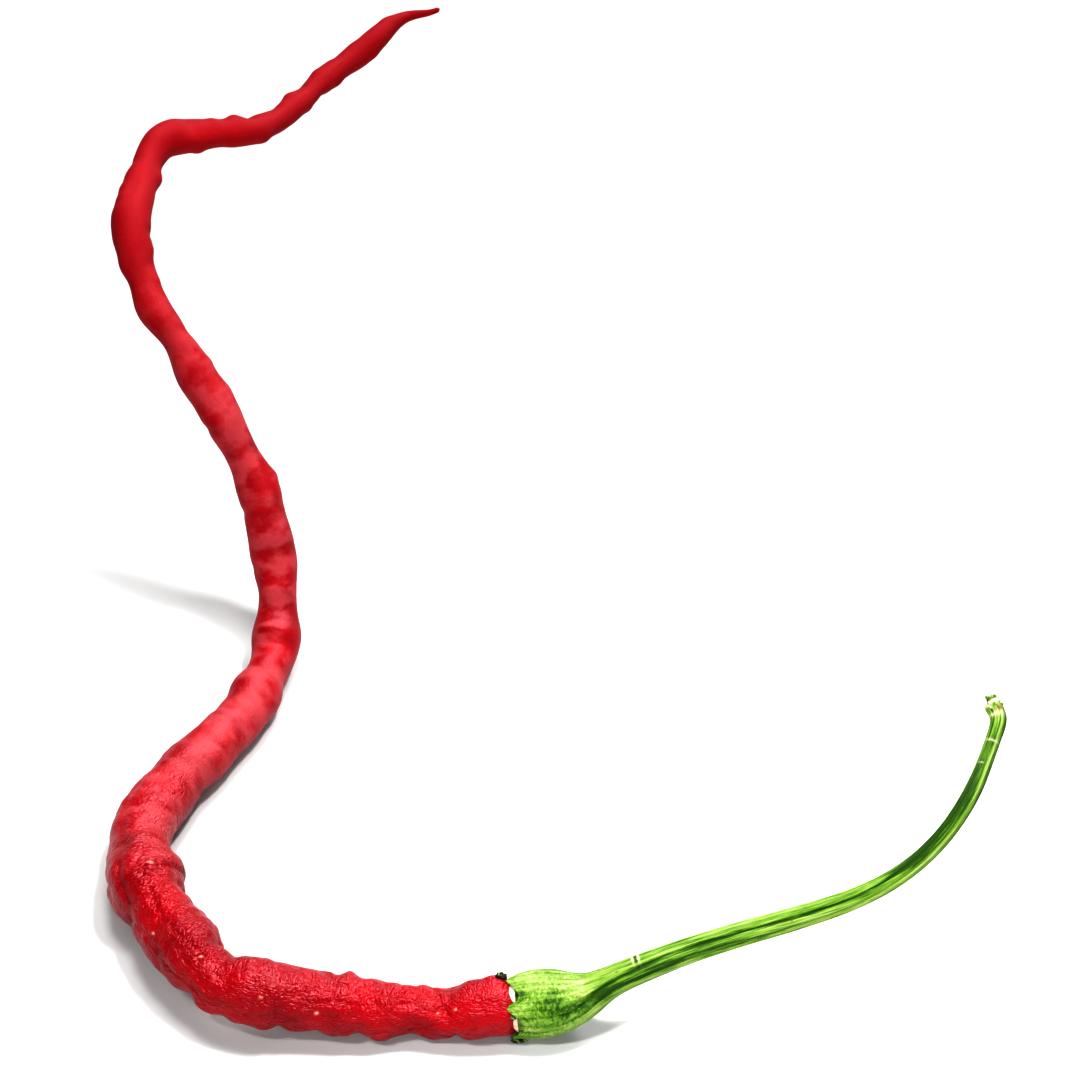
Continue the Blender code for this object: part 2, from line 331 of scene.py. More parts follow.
# Creased layers: pitch along, cells round, width of a crease's field, share of depth, and a draw.
CREASE_LAYERS = ((2.6, 9, 0.30, 0.7, 41), (1.5, 18, 0.30, 0.5, 42))
LUMP_PITCH, LUMP_CELLS, LUMP_DRAW = 4.0, 4, 51
SWAY_PITCH, SWAY_CELLS, SWAY, SWAY_DRAW = 12.0, 4, 0.03, 52
# Where the leathery net runs crosswise: distance, clock angle, length, width in radians, and strength.
RIPPLES = (
    (5.2, 72, 3.6, 0.80, 1.0),
    (18.0, 95, 9.0, 0.90, 0.9),
    (32.0, 80, 5.0, 0.60, 0.6),
    (42.0, 84, 4.4, 0.80, 0.9),
    (49.0, 86, 5.0, 1.00, 1.0),
    (58.0, 90, 6.0, 1.20, 1.0),
    (67.0, 110, 5.0, 1.00, 0.8),
    (76.0, 120, 5.0, 1.20, 0.8),
)
# Pale dots where the skin was nicked: distance, clock angle, and size.
SPECKS = (
    (7.4, 129, 0.15),
    (9.9, 135, 0.12),
    (26.4, 150, 0.20),
    (33.9, 135, 0.14),
    (42.9, 105, 0.16),
    (50.9, 144, 0.17),
    (61.0, 84, 0.18),
    (18.0, 300, 0.20),
    (47.0, 10, 0.18),
    (71.0, 200, 0.20),
    (88.0, 250, 0.22),
)
# Dull tan patches on the skin: distance, clock angle, length, width in radians, and strength.
TAN_PATCHES = (
    (216.5, 22, 5.2, 0.42, 1.0),
    (199.0, 62, 2.4, 0.50, 0.45),
    (168.0, 300, 5.0, 0.50, 0.5),
)
SPECK_RISE = 0.05
# The depth of fold at which the painted crease shade is darkest, and the radius at which the skin's grain is
# true to size.
HOLLOW_DEPTH = 0.30
POD_GRAIN_RADIUS = 4.0

# The stalk's middle line, from the calyx rim to the broken end: x, y, height of its underside.
STALK_LINE = (
    (-2.5, -84.1, 0.0),
    (1.7, -83.9, 0.0),
    (5.6, -83.9, 1.6),
    (9.4, -83.5, 5.0),
    (13.1, -83.2, 7.6),
    (20.7, -81.4, 10.2),
    (36.8, -79.3, 15.4),
    (48.3, -77.3, 20.4),
    (54.8, -73.8, 24.6),
    (59.6, -68.3, 28.8),
    (63.0, -61.3, 32.4),
    (63.6, -58.9, 33.4),
    (62.8, -57.0, 34.0),
)
# The calyx and stalk's radius at a distance along them from the rim.
STALK_GIRTH = (
    (0, 4.20),
    (4, 4.60),
    (8, 4.00),
    (12, 2.70),
    (17, 2.10),
    (29, 1.82),
    (42, 1.65),
    (55, 1.35),
    (63, 1.22),
    (72, 1.18),
    (80, 1.08),
    (84, 1.25),
)
STALK_SPACING = ((0, 0.15), (12, 0.20), (18.0, 0.20), (18.3, 0.09), (19.6, 0.09), (20, 0.24), (84, 0.20))
BROKEN_END_HOLLOW = 0.35
CUT_REACH, CUT_FADE = 0.7, 0.5
STALK_GRAIN_RADIUS = 2.5
# Grooves along the stalk: depth as a share of the radius, half width in radians, and a route of distance
# and clock angle.
STALK_GROOVES = (
    (0.20, 0.13, ((9, 22), (12, 34), (16, 48), (22, 58), (34, 56), (46, 50), (58, 66), (66, 84), (80, 96))),
    (0.09, 0.10, ((6, -8), (9, 0), (14, 12), (22, 14), (34, 4), (46, 8), (54, 18), (64, 34), (80, 44))),
    (0.07, 0.10, ((8, 60), (14, 80), (22, 86), (46, 80), (60, 96), (80, 120))),
    (0.06, 0.10, ((8, 96), (16, 106), (30, 108), (46, 100), (60, 120), (80, 140))),
    (0.16, 0.20, ((8, -44), (20, -40), (46, -48), (64, -30), (80, -20))),
    (0.16, 0.20, ((8, -112), (20, -108), (46, -116), (64, -104), (80, -96))),
    (0.14, 0.20, ((8, 184), (20, 190), (46, 182), (64, 190), (80, 196))),
    (0.12, 0.18, ((9, 138), (20, 144), (46, 136), (64, 150), (80, 166))),
)
GROOVES_FROM, GROOVES_OVER = 6.0, 6.0
CALYX_END, CALYX_FADE = 14, 6
CALYX_RIBS = 24
CALYX_RIB_HEIGHT = 0.085
RIB_SWAY, RIB_SWAY_PITCH, RIB_SWAY_CELLS, RIB_SWAY_DRAW = 1.4, 4, 7, 61
# How much lighter the ribs are, how much painted shade darkens the grooves, and the groove depth at which
# that painted shade is darkest.
RIB_LIGHT, PAINTED_GROOVE_SHADE, PAINTED_GROOVE_SHADE_DEPTH = 0.10, 0.40, 0.20
# Fibres and mottling: pitch along, cells round, share of height, and a draw.
FIBRE_LAYERS = ((7, 21, 0.6, 62), (3, 37, 0.4, 63))
MOTTLE_LAYERS = ((1.1, 22, 1.0, 64), (0.6, 40, 0.7, 65))
# Bands of painted light and shade along the stalk, lighter where light falls on it and darker where shade
# falls: strength (below zero for painted shade), half width in radians, and a route of distance and clock
# angle. Each band shows between its route's ends.
PAINTED_STALK_LIGHT = (
    (0.20, 0.50, ((9, 90), (20, 104), (46, 96), (56, 100))),
    (0.12, 0.20, ((32, 34), (46, 30), (56, 34))),
    (-0.24, 0.26, ((8, 16), (20, 26), (34, 24))),
    (0.16, 0.50, ((4, -24), (12, -20), (30, -22), (56, -16))),
    (-0.40, 0.62, ((54, 78), (62, 82), (70, 74), (74, 72))),
    (0.30, 0.15, ((52, 6), (62, 14), (72, 22), (83, 34))),
    (0.34, 0.30, ((58, 150), (70, 146), (83, 140))),
)
BAND_FADE = 5.0
# Lighter and darker patches: distance, clock angle, length, width in radians, and strength.
LIGHT_PATCHES = (
    (3.2, 106, 5.0, 0.50, 0.22),
    (10.8, 62, 2.4, 0.55, 0.30),
    (5.4, 76, 2.2, 0.22, 0.16),
    (8.5, 96, 3.0, 0.30, 0.10),
    (1.6, 46, 1.2, 0.16, 0.25),
    (1.4, 4, 1.0, 0.14, 0.16),
    (83.0, 60, 1.6, 1.4, 0.22),
)
DARK_PATCHES = (
    (6.0, 42, 3.4, 0.40, 0.16),
    (3.6, 34, 2.4, 0.16, 0.16),
    (7.5, 20, 3.4, 0.24, 0.14),
    (0.8, 60, 0.7, 0.20, 0.30),
    (0.9, 26, 0.6, 0.12, 0.35),
    (18.8, 106, 0.16, 0.50, 0.60),
    (82.0, 4, 2.0, 0.22, 0.30),
)
# Small brown dots: distance, clock angle, and size.
BROWN_DOTS = (
    (1.7, 84, 0.16),
    (4.6, 84, 0.18),
    (8.6, 108, 0.16),
    (11.4, 104, 0.14),
    (13.8, 112, 0.14),
    (9.8, 48, 0.20),
    (16.2, 70, 0.14),
    (26.0, 92, 0.14),
    (40.5, 40, 0.14),
    (83.6, 40, 0.40),
)
# Pale scars and cracks across the stalk: distance, clock angle, length, width in radians, and strength.
SCARS = (
    (18.42, 108, 0.15, 0.52, 1.0),
    (19.20, 104, 0.15, 0.48, 1.0),
    (78.9, 62, 0.11, 1.10, 0.9),
    (75.3, 82, 0.09, 0.34, 0.8),
    (82.9, 90, 0.35, 1.20, 0.7),
)
SCAR_HEIGHT = 0.09
# Pale patches near the broken end: distance, clock angle, length, width in radians, and strength.
PALE_PATCHES = (
    (79.0, 165, 5.0, 0.45, 0.8),
    (71.0, 180, 4.0, 0.40, 0.8),
)
# The calyx's ragged edge: clock angle, and how far it falls short of the rim (below zero: over the pod).
CALYX_EDGE = (
    (-60, 0.3),
    (-44, -0.5),
    (-30, -0.2),
    (-14, 1.0),
    (2, 1.5),
    (18, 1.2),
    (29, 0.4),
    (39, -0.4),
    (46, -0.8),
    (52, -0.3),
    (58, 0.9),
    (68, 1.1),
    (80, 0.7),
    (93, 0.1),
    (104, -0.5),
    (116, 0.0),
    (134, 0.9),
    (152, 0.8),
    (170, 0.1),
    (184, -0.8),
    (198, 0.2),
    (224, 1.2),
    (250, 0.3),
    (268, -0.6),
    (284, 0.4),
)
EDGE_SHEAR = 3.2
# The pale lining that shows where the calyx's edge falls short: clock angle and distance of its edge.
LINING_EDGE = (
    (-40, 1.2),
    (-16, 0.3),
    (-2, 0.0),
    (12, -0.1),
    (24, 0.1),
    (32, 1.0),
    (50, 1.0),
    (58, 0.2),
    (70, -0.4),
    (84, -0.9),
    (94, -0.7),
    (104, 0.9),
    (122, 0.6),
    (140, 0.0),
    (158, 0.2),
    (174, 1.0),
    (200, 0.8),
    (216, 0.0),
    (236, 0.2),
    (252, 1.0),
    (290, 1.1),
)
# The lining's section: share of its length from its edge, and radius.
LINING_LENGTH = 2.4
LINING_SECTION = ((0.0, 3.50), (0.0, 3.68), (0.08, 3.78), (0.4, 3.80), (1.0, 3.72), (1.0, 3.50))
# Dried bits at the rim: clock angle, distance from the rim, distance from its middle, radii (long, wide,
# high), lean outwards in radians, and a draw.
DRIED_BITS = (
    ("rim_knob", 112, -1.0, 4.65, (0.95, 0.74, 0.60), 0.2, 71),
    ("rim_tooth_near", 29, 0.2, 4.15, (0.55, 0.34, 0.30), 0.1, 72),
    ("rim_crumb_near", 31, 1.05, 4.22, (0.26, 0.22, 0.18), 0.0, 73),
    ("rim_tooth_low", -44, 0.5, 4.55, (1.25, 0.62, 0.55), -0.15, 74),
    ("rim_tooth_far", 184, -0.75, 4.10, (0.60, 0.36, 0.26), 0.3, 75),
)
# Lumps of the stalk's broken end: middle, directions, radii and a draw.
BROKEN_BITS = (
    (
        "broken_end",
        np.array((63.2, -57.4, 35.4)),
        ((-0.80, 0.0, 0.60), (0.0, 1.0, 0.0), (-0.60, 0.0, -0.80)),
        (1.35, 1.15, 1.15),
        81,
    ),
    (
        "broken_end_splinter",
        np.array((62.5, -57.1, 36.1)),
        ((-0.90, 0.10, 0.42), (0.10, 1.0, 0.0), (-0.42, 0.0, -0.90)),
        (0.80, 0.50, 0.38),
        82,
    ),
)
LUMP_ROUGHNESS = 0.22
LUMP_GRAIN = 1.7
LUMP_SHIFT = (3.7, 1.9)
LUMP_LAYERS = 4

# Room left round the flat maps for baking, as shares of a strip, and how far out the end fans meet.
STRIP_EDGE, STRIP_WIDTH = 0.04, 0.92
STRIP_MARGIN = 0.01
FAN_REACH = 0.004
BAND_LOW, BAND_HIGH = 0.05, 0.95

# Where the lights stand, the points that they face, and the softboxes' sides, in metres.
TABLE_MIDDLE = (0, 0, 0)
CEILING_PLACE = (0.0, 0.1, 1.0)
OVERHEAD_PLACE, OVERHEAD_SIDE = (-0.02, 0.2, 1.0), 0.26
BACK_PLACE, BACK_SIDE = (0.40, 0.95, 0.80), 0.6
FRONT_PLACE, FRONT_SIDE = (0.0, -1.0, 0.40), 1.0
POD_SPOT_PLACE, POD_SPOT_TARGET = (0.27, 0.10, 0.9), (-0.068, -0.06, 0.0)
STALK_SPOT_PLACE, STALK_SPOT_TARGET = (-0.35, -0.38, 0.9), (0.085, -0.075, 0.0)
SPOT_SOFTNESS = 0.06


def spline(knots, values, at):
    """Natural cubic spline through values at knots, read at the places in at."""
    knots = np.asarray(knots, float)
    values = np.asarray(values, float).reshape(len(knots), -1)
    gaps = np.diff(knots)
    slopes = np.diff(values, axis=0) / gaps[:, None]
    system = np.eye(len(knots))
    right = np.zeros_like(values)
    for i in range(1, len(knots) - 1):
        system[i, i - 1 : i + 2] = gaps[i - 1], 2 * (gaps[i - 1] + gaps[i]), gaps[i]
        right[i] = 6 * (slopes[i] - slopes[i - 1])
    bend = np.linalg.solve(system, right)
    i = np.clip(np.searchsorted(knots, at) - 1, 0, len(gaps) - 1)
    gap = gaps[i][:, None]
    a = (knots[i + 1] - at)[:, None]
    b = (at - knots[i])[:, None]
    cubic = (bend[i] * a**3 + bend[i + 1] * b**3) / (6 * gap)
    first = (values[i] / gap - bend[i] * gap / 6) * a
    second = (values[i + 1] / gap - bend[i + 1] * gap / 6) * b
    return cubic + first + second


def girth(table, along):
    """Radius from a table of (distance, radius), held level outside it."""
    places = [row[0] for row in table]
    held = np.clip(along, places[0], places[-1])
    return spline(places, [row[1] for row in table], held)[:, 0]


def run(points):
    """Distance of each point from the first, along the line through them."""
    steps = np.linalg.norm(np.diff(points, axis=0), axis=1)
    return np.concatenate([[0], np.cumsum(steps)])


def read_table(table, at):
    """A value between the rows of a table of (place, value)."""
    return np.interp(at, [row[0] for row in table], [row[1] for row in table])


def read_round(table, angles):
    """A value between the rows of a table of (clock angle, value) that closes on itself."""
    return np.interp(np.degrees(angles), [row[0] for row in table], [row[1] for row in table], period=360)


def middle_line(route, table, start, spacing):
    """Points on a smooth line, spaced as the spacing table says, and each one's distance along it."""
    rows = np.array(route, float)
    chord = run(rows)
    fine = spline(chord, rows, np.linspace(0, chord[-1], LINE_PIECES))
    fine[:, 2] += girth(table, run(fine) + start) - SETTLE
    length = run(fine)
    count = np.concatenate([[0], np.cumsum(np.diff(length) / read_table(spacing, length[1:] + start))])
    places = np.interp(np.linspace(0, count[-1], round(count[-1]) + 1), count, length)
    points = np.stack([np.interp(places, length, column) for column in fine.T], axis=1)
    return points, places + start


def carried_frames(points):
    """Side and up vectors at each point, carried along the line without twist from +Z up."""
    ahead = np.gradient(points, axis=0)
    ahead /= np.linalg.norm(ahead, axis=1)[:, None]
    up = np.array([0.0, 0.0, 1.0])
    sides, ups = [], []
    for direction in ahead:
        up = up - direction * (up @ direction)
        up /= np.linalg.norm(up)
        ups.append(up)
        sides.append(np.cross(direction, up))
    return np.array(sides), np.array(ups)


def angle_from(angles, centre):
    """Signed angle from centre, between minus and plus half a turn."""
    return (angles - centre + math.pi) % FULL_TURN - math.pi


def mound(along, angles, place, turn, length, width):
    """A soft round mound of height 1 on the skin, at one distance and angle."""
    across = angle_from(angles, turn) / width
    return np.exp(-(((along - place) / length) ** 2) - across**2)


def seed_swellings():
    """Where seeds push the skin out: distance, angle and size factor."""
    chance = random.Random(SEED_DRAW)
    found, along, turn = [], SEEDS_FROM, 0.0
    while along < SEEDS_TO:
        turn += math.radians(SEED_TURN + chance.uniform(-SEED_TURN_CHANCE, SEED_TURN_CHANCE))
        found.append((along, turn, chance.uniform(SEED_LEAST, SEED_MOST)))
        along += SEED_PITCH * (1 + chance.uniform(-SEED_PITCH_CHANCE, SEED_PITCH_CHANCE))
    return found


def blend_weights(part):
    """The four weights of a smooth curve between lattice places."""
    rest = 1 - part
    return (
        rest**3 / 6,
        (3 * part**3 - 6 * part**2 + 4) / 6,
        (3 * rest**3 - 6 * rest**2 + 4) / 6,
        part**3 / 6,
    )


def wander(rows, columns, closes, draw):
    """Smooth random heights of about -1 to 1 at lattice places, closing on themselves round the pod."""
    chance = np.random.default_rng(draw)
    row, column = np.floor(rows).astype(int), np.floor(columns).astype(int)
    low = row.min() - 1
    lattice = chance.uniform(-LATTICE_REACH, LATTICE_REACH, (row.max() - low + 3, closes))
    row_weights, column_weights = blend_weights(rows - row), blend_weights(columns - column)
    total = 0.0
    for i in range(4):
        for j in range(4):
            picked = lattice[row + i - 1 - low, (column + j - 1) % closes]
            total = total + row_weights[i] * column_weights[j] * picked
    return total


def layered(rows, turns, layers):
    """Several layers of smooth random heights, each with its pitch, cells, share and draw."""
    height = np.zeros_like(rows)
    for pitch, cells, share, draw in layers:
        height += share * wander(rows / pitch, turns * cells, cells, draw)
    return height


def crease(along, angles, radius, half_width, route):
    """A valley of depth 1 along a route of (distance, clock angle) over the skin."""
    rows = np.array([(place, math.radians(clock)) for place, clock in route])
    near = np.full(np.broadcast_shapes(along.shape, angles.shape), FAR_OFF)
    for (place, turn), (next_place, next_turn) in zip(rows, rows[1:]):
        run_along, run_round = next_place - place, (next_turn - turn) * radius
        off_along = along - place
        off_round = angle_from(angles, turn) * radius
        share = (off_along * run_along + off_round * run_round) / (run_along**2 + run_round**2)
        share = np.clip(share, 0, 1)
        gap = (off_along - share * run_along) ** 2 + (off_round - share * run_round) ** 2
        near = np.minimum(near, gap)
    return np.exp(-near / half_width**2)


def ring_angles(sides):
    """Evenly spaced angles round a ring."""
    return np.arange(sides) * FULL_TURN / sides


def rings_round(points, frames, radii, angles):
    """Points round the line: one ring for each point, with radii[ring, angle]."""
    side, up = frames
    across = np.cos(angles)[None, :, None] * side[:, None, :]
    out = across + np.sin(angles)[None, :, None] * up[:, None, :]
    return points[:, None, :] + radii[:, :, None] * out


def rounding(distance, reach):
    """Share of the radius left at a distance into a round end of that reach."""
    return np.sqrt(np.clip(1 - (np.maximum(distance, 0) / reach) ** 2, 0, 1))


def pod_forms(along, angles, radius):
    """Height of the skin's swellings and folds over its even round."""
    height = np.zeros(np.broadcast_shapes(along.shape, angles.shape))
    for place, turn, size in seed_swellings():
        height += size * SEED_HEIGHT * radius * mound(along, angles, place, turn, SEED_LENGTH, SEED_WIDTH)
    for place, clock, rise, length in LANDMARKS:
        height += rise * mound(along, angles, place, math.radians(clock), length, LANDMARK_WIDTH)
    for place, clock, rise, length, width in SMALL_FORMS:
        height += rise * mound(along, angles, place, math.radians(clock), length, width)
    return height


def pod_creases(along, angles, radius):
    """Depth of the skin's plain creases."""
    depth = np.zeros(np.broadcast_shapes(along.shape, angles.shape))
    for deep, half_width, route in POD_CREASES:
        depth += deep * crease(along, angles, radius, half_width, route)
    return depth


def pod_leather(along, angles, wrinkle_depth):
    """Height of the fine wrinkles."""
    rows = along + 0 * angles
    turns = angles / FULL_TURN + 0 * along
    turns = turns + SWAY * wander(rows / SWAY_PITCH, turns * SWAY_CELLS, SWAY_CELLS, SWAY_DRAW)
    height = layered(rows, turns, WRINKLE_LAYERS)
    hollow = np.zeros_like(rows)
    for pitch, cells, width, share, draw in CREASE_LAYERS:
        hollow += share * np.exp(-((wander(rows / pitch, turns * cells, cells, draw) / width) ** 2))
    strength = read_table(LEATHER, along)
    return strength * wrinkle_depth * (height - hollow)


def spots(along, angles, radius, rows):
    """Small round dots of strength 1 on the skin."""
    found = np.zeros(np.broadcast_shapes(along.shape, angles.shape))
    for place, clock, size in rows:
        found += mound(along, angles, place, math.radians(clock), size, size / radius)
    return np.clip(found, 0, 1)


def patches(along, angles, rows):
    """Broad soft patches of the given strengths on the skin."""
    found = np.zeros(np.broadcast_shapes(along.shape, angles.shape))
    for place, clock, length, width, strength in rows:
        found += strength * mound(along, angles, place, math.radians(clock), length, width)
    return np.clip(found, 0, 1)


def grain_places(along, angles, radius):
    """Where each point lies on the skin, with the distance along it first, for grain that runs lengthwise."""
    parts = np.broadcast_arrays(along, radius * np.cos(angles), radius * np.sin(angles))
    return np.stack(parts, axis=-1)


def pod_skin(settings):
    """The pod's rings, end points and what its finish reads at each point."""
    points, places = middle_line(POD_LINE, POD_GIRTH, -SHOULDER, POD_SPACING)
    along, angles = places[:, None], ring_angles(settings.sides)[None, :]
    radius = girth(POD_GIRTH, places)[:, None]
    wrinkles = pod_leather(along, angles, settings.wrinkle_depth / MM)
    rows, columns = along / LUMP_PITCH + 0 * angles, angles / FULL_TURN * LUMP_CELLS + 0 * along
    lumps = wander(rows, columns, LUMP_CELLS, LUMP_DRAW)
    folds = pod_creases(along, angles, radius)
    specks = spots(along, angles, radius, SPECKS)
    radii = radius + pod_forms(along, angles, radius) + wrinkles - folds + settings.lump_height / MM * lumps
    radii = radii + SPECK_RISE * specks
    in_cup = CUP_RADIUS - FIT_GAP
    free = np.clip((along - SWELLS_FROM) / SWELLS_OVER, 0, 1)
    radii = in_cup + (radii - in_cup) * free
    ends = rounding(-along, SHOULDER) * rounding(along - places[-1] + TIP_ROUNDING, TIP_ROUNDING)
    rings = rings_round(points, carried_frames(points), radii * ends, angles[0])
    reads = {
        "grain": grain_places(along, angles, POD_GRAIN_RADIUS),
        # Where painted shade darkens the folds.
        "hollow": np.clip(folds / HOLLOW_DEPTH, 0, 1),
        "leather": read_table(LEATHER, along) + 0 * angles,
        "deep": read_table(DEEP_RED, along) + 0 * angles,
        "painted_sheen": read_table(PAINTED_SHEEN, along) + 0 * angles,
        "ripple": patches(along, angles, RIPPLES),
        "speck": specks,
        "tan": patches(along, angles, TAN_PATCHES),
    }
    reads = {name: values[1:-1] for name, values in reads.items()}
    return rings[1:-1], points[0], points[-1], reads


def stalk_grooves(along, angles):
    """Depth of the stalk's grooves as a share of its radius."""
    depth = np.zeros(np.broadcast_shapes(along.shape, angles.shape))
    for deep, half_width, route in STALK_GROOVES:
        turn = np.radians(read_table(route, along))
        depth += deep * np.exp(-((angle_from(angles, turn) / half_width) ** 2))
    return depth * np.clip((along - GROOVES_FROM) / GROOVES_OVER, 0, 1)


def painted_stalk_light(along, angles):
    """How much lighter or darker the stalk is, from its bands of painted light and shade."""
    tone = np.zeros(np.broadcast_shapes(along.shape, angles.shape))
    for strength, half_width, route in PAINTED_STALK_LIGHT:
        turn = np.radians(read_table(route, along))
        inside = np.minimum(along - route[0][0], route[-1][0] - along) / BAND_FADE + 0.5
        band = np.exp(-((angle_from(angles, turn) / half_width) ** 2))
        tone += strength * band * np.clip(inside, 0, 1)
    return tone


def rim_frame():
    """The middle of the calyx's rim, its direction, and its side and up vectors."""
    points, places = middle_line(STALK_LINE, STALK_GIRTH, 0.0, STALK_SPACING)
    sides, ups = carried_frames(points)
    axis = points[1] - points[0]
    return points[0], axis / np.linalg.norm(axis), sides[0], ups[0]


def cup_rings(middle, frame, axis, edge, angles):
    """Rings of the cup that holds the pod's end, from its bottom out to the rim's lip."""
    cup = []
    for depth, share in CUP_PROFILE:
        radii = np.full((1, len(angles)), CUP_RADIUS * share + CUP_SLACK)
        cup.append(rings_round(middle + axis * CUP_DEPTH * depth, frame, radii, angles)[0])
    lip = rings_round(middle, frame, np.full((1, len(angles)), CUP_RADIUS + LIP_SLACK), angles)[0]
    cup.append(lip + (edge + LIP_INSET)[:, None] * axis)
    return np.array(cup)


def stalk_skin(settings):
    """The calyx and stalk's rings, end points and what their finish reads at each point."""
    points, places = middle_line(STALK_LINE, STALK_GIRTH, 0.0, STALK_SPACING)
    frames = carried_frames(points)
    along, angles = places[:, None], ring_angles(settings.sides)[None, :]
    radius = girth(STALK_GIRTH, places)[:, None]
    rows, turns = along + 0 * angles, angles / FULL_TURN + 0 * along
    grooves = stalk_grooves(along, angles)
    on_calyx = np.clip((CALYX_END - along) / CALYX_FADE, 0, 1)
    sway = wander(rows / RIB_SWAY_PITCH, turns * RIB_SWAY_CELLS, RIB_SWAY_CELLS, RIB_SWAY_DRAW)
    ribs = np.cos(CALYX_RIBS * angles + RIB_SWAY * sway)
    fibres = layered(rows, turns, FIBRE_LAYERS)
    mottle = layered(rows, turns, MOTTLE_LAYERS)
    height = CALYX_RIB_HEIGHT * ribs * on_calyx + settings.fibre_height / MM * fibres
    height = height + settings.mottle_height / MM * mottle * on_calyx - radius * grooves
    scars = patches(along, angles, SCARS)
    height = height + SCAR_HEIGHT * scars
    # The tone holds painted light and shade from the bands, beside the lighter and darker patches.
    tone = painted_stalk_light(along, angles) + patches(along, angles, LIGHT_PATCHES)
    tone = tone - patches(along, angles, DARK_PATCHES)
    # Painted shade in the grooves, deeper grooves darker.
    tone = tone + RIB_LIGHT * ribs * on_calyx - PAINTED_GROOVE_SHADE * np.clip(grooves / PAINTED_GROOVE_SHADE_DEPTH, 0, 1)
    outer = rings_round(points, frames, radius + height, angles[0])
    axis = rim_frame()[1]
    edge = read_round(CALYX_EDGE, angles[0])
    outer += (edge * np.clip(1 - along / EDGE_SHEAR, 0, 1))[:, :, None] * axis
    first_frame = frames[0][:1], frames[1][:1]
    cup = cup_rings(points[:1], first_frame, axis, edge, angles[0])
    last_axis = points[-1] - points[-2]
    last_axis /= np.linalg.norm(last_axis)
    reads = {
        "grain": grain_places(along, angles, STALK_GRAIN_RADIUS),
        "calyx": on_calyx + 0 * angles,
        "tone": tone,
        "brown": spots(along, angles, radius, BROWN_DOTS),
        "scar": scars,
        "pale_patch": patches(along, angles, PALE_PATCHES),
        "cut": np.clip((along - places[-1] + CUT_REACH) / CUT_FADE, 0, 1) + 0 * angles,
    }
    reads = {name: np.concatenate([np.repeat(v[:1], len(cup), axis=0), v]) for name, v in reads.items()}
    rings = np.concatenate([cup, outer])
    return rings, points[0] + axis * CUP_DEPTH, points[-1] - last_axis * BROKEN_END_HOLLOW, reads


def lining_rings(sides):
    """Rings of the thin lining inside the rim, round its section."""
    middle, axis, side, up = rim_frame()
    angles = ring_angles(sides)
    edge = read_round(LINING_EDGE, angles)
    out = np.cos(angles)[:, None] * side + np.sin(angles)[:, None] * up
    rings = []
    for share, radius in LINING_SECTION:
        place = edge + share * (LINING_LENGTH - edge)
        rings.append(middle + place[:, None] * axis + radius * out)
    return np.array(rings)


def band_mesh(name, rings):
    """A closed band: its last ring joins its first."""
    count, sides = rings.shape[:2]
    ring, side = np.meshgrid(np.arange(count), np.arange(sides), indexing="ij")
    next_ring, after = (ring + 1) % count, (side + 1) % sides
    here, there = ring * sides, next_ring * sides
    quads = np.stack((here + side, there + side, there + after, here + after), axis=-1).reshape(-1, 4)
    mesh = bpy.data.meshes.new(name)
    mesh.from_pydata((rings.reshape(-1, 3) * MM).tolist(), [], quads.tolist())
    left, right = side / sides, (side + 1) / sides
    low, high = (ring + BAND_LOW) / count, (ring + BAND_HIGH) / count
    places = np.stack([left, low, left, high, right, high, right, low], axis=-1)
    mesh.uv_layers.new(name=BAKE_MAP).data.foreach_set("uv", places.ravel().astype(np.float32))
    mesh.shade_smooth()
    mesh.validate()
    mesh.update()
    return mesh


def lump_mesh(name, centre, directions, sizes, draw):
    """A small crumpled lump with the given radii along three directions."""
    made = bmesh.new()
    bmesh.ops.create_icosphere(made, subdivisions=4, radius=1.0)
    shift = Vector((draw * LUMP_SHIFT[0], draw * LUMP_SHIFT[1], 0.0))
    for corner in made.verts:
        bumps = turbulence(corner.co * LUMP_GRAIN + shift, LUMP_LAYERS, False)
        shape = corner.co * (1 + LUMP_ROUGHNESS * (2 * bumps - 1))
        place = centre + sum(np.array(directions[i]) * shape[i] * sizes[i] for i in range(3))
        corner.co = Vector(place) * MM
    mesh = bpy.data.meshes.new(name)
    made.to_mesh(mesh)
    made.free()
    mesh.shade_smooth()
    return mesh


def ring_quads(count, sides):
    """Corner numbers of the quads between rings, facing outwards."""
    ring, side = np.meshgrid(np.arange(count - 1), np.arange(sides), indexing="ij")
    after = (side + 1) % sides
    here, there = ring * sides, (ring + 1) * sides
    return np.stack((here + side, there + side, there + after, here + after), axis=-1).reshape(-1, 4)


def strip_map(rings, strips):
    """Flat places of the quads' corners: the skin cut open, and cut across into strips side by side."""
    count, sides = rings.shape[:2]
    middles = rings.mean(axis=1)
    length = run(middles)
    length = length / length[-1]
    ring, side = np.meshgrid(np.arange(count - 1), np.arange(sides), indexing="ij")
    strip = np.minimum((length[ring] * strips).astype(int), strips - 1)
    low = np.clip(length[ring] * strips - strip, 0, 1)
    high = np.clip(length[ring + 1] * strips - strip, 0, 1)
    left = (strip + STRIP_EDGE + STRIP_WIDTH * side / sides) / strips
    right = (strip + STRIP_EDGE + STRIP_WIDTH * (side + 1) / sides) / strips
    low, high = (STRIP_MARGIN + (1 - 2 * STRIP_MARGIN) * edge for edge in (low, high))
    corners = np.stack([left, low, left, high, right, high, right, low], axis=-1)
    return corners.reshape(-1, 2), (left, right, low, high)


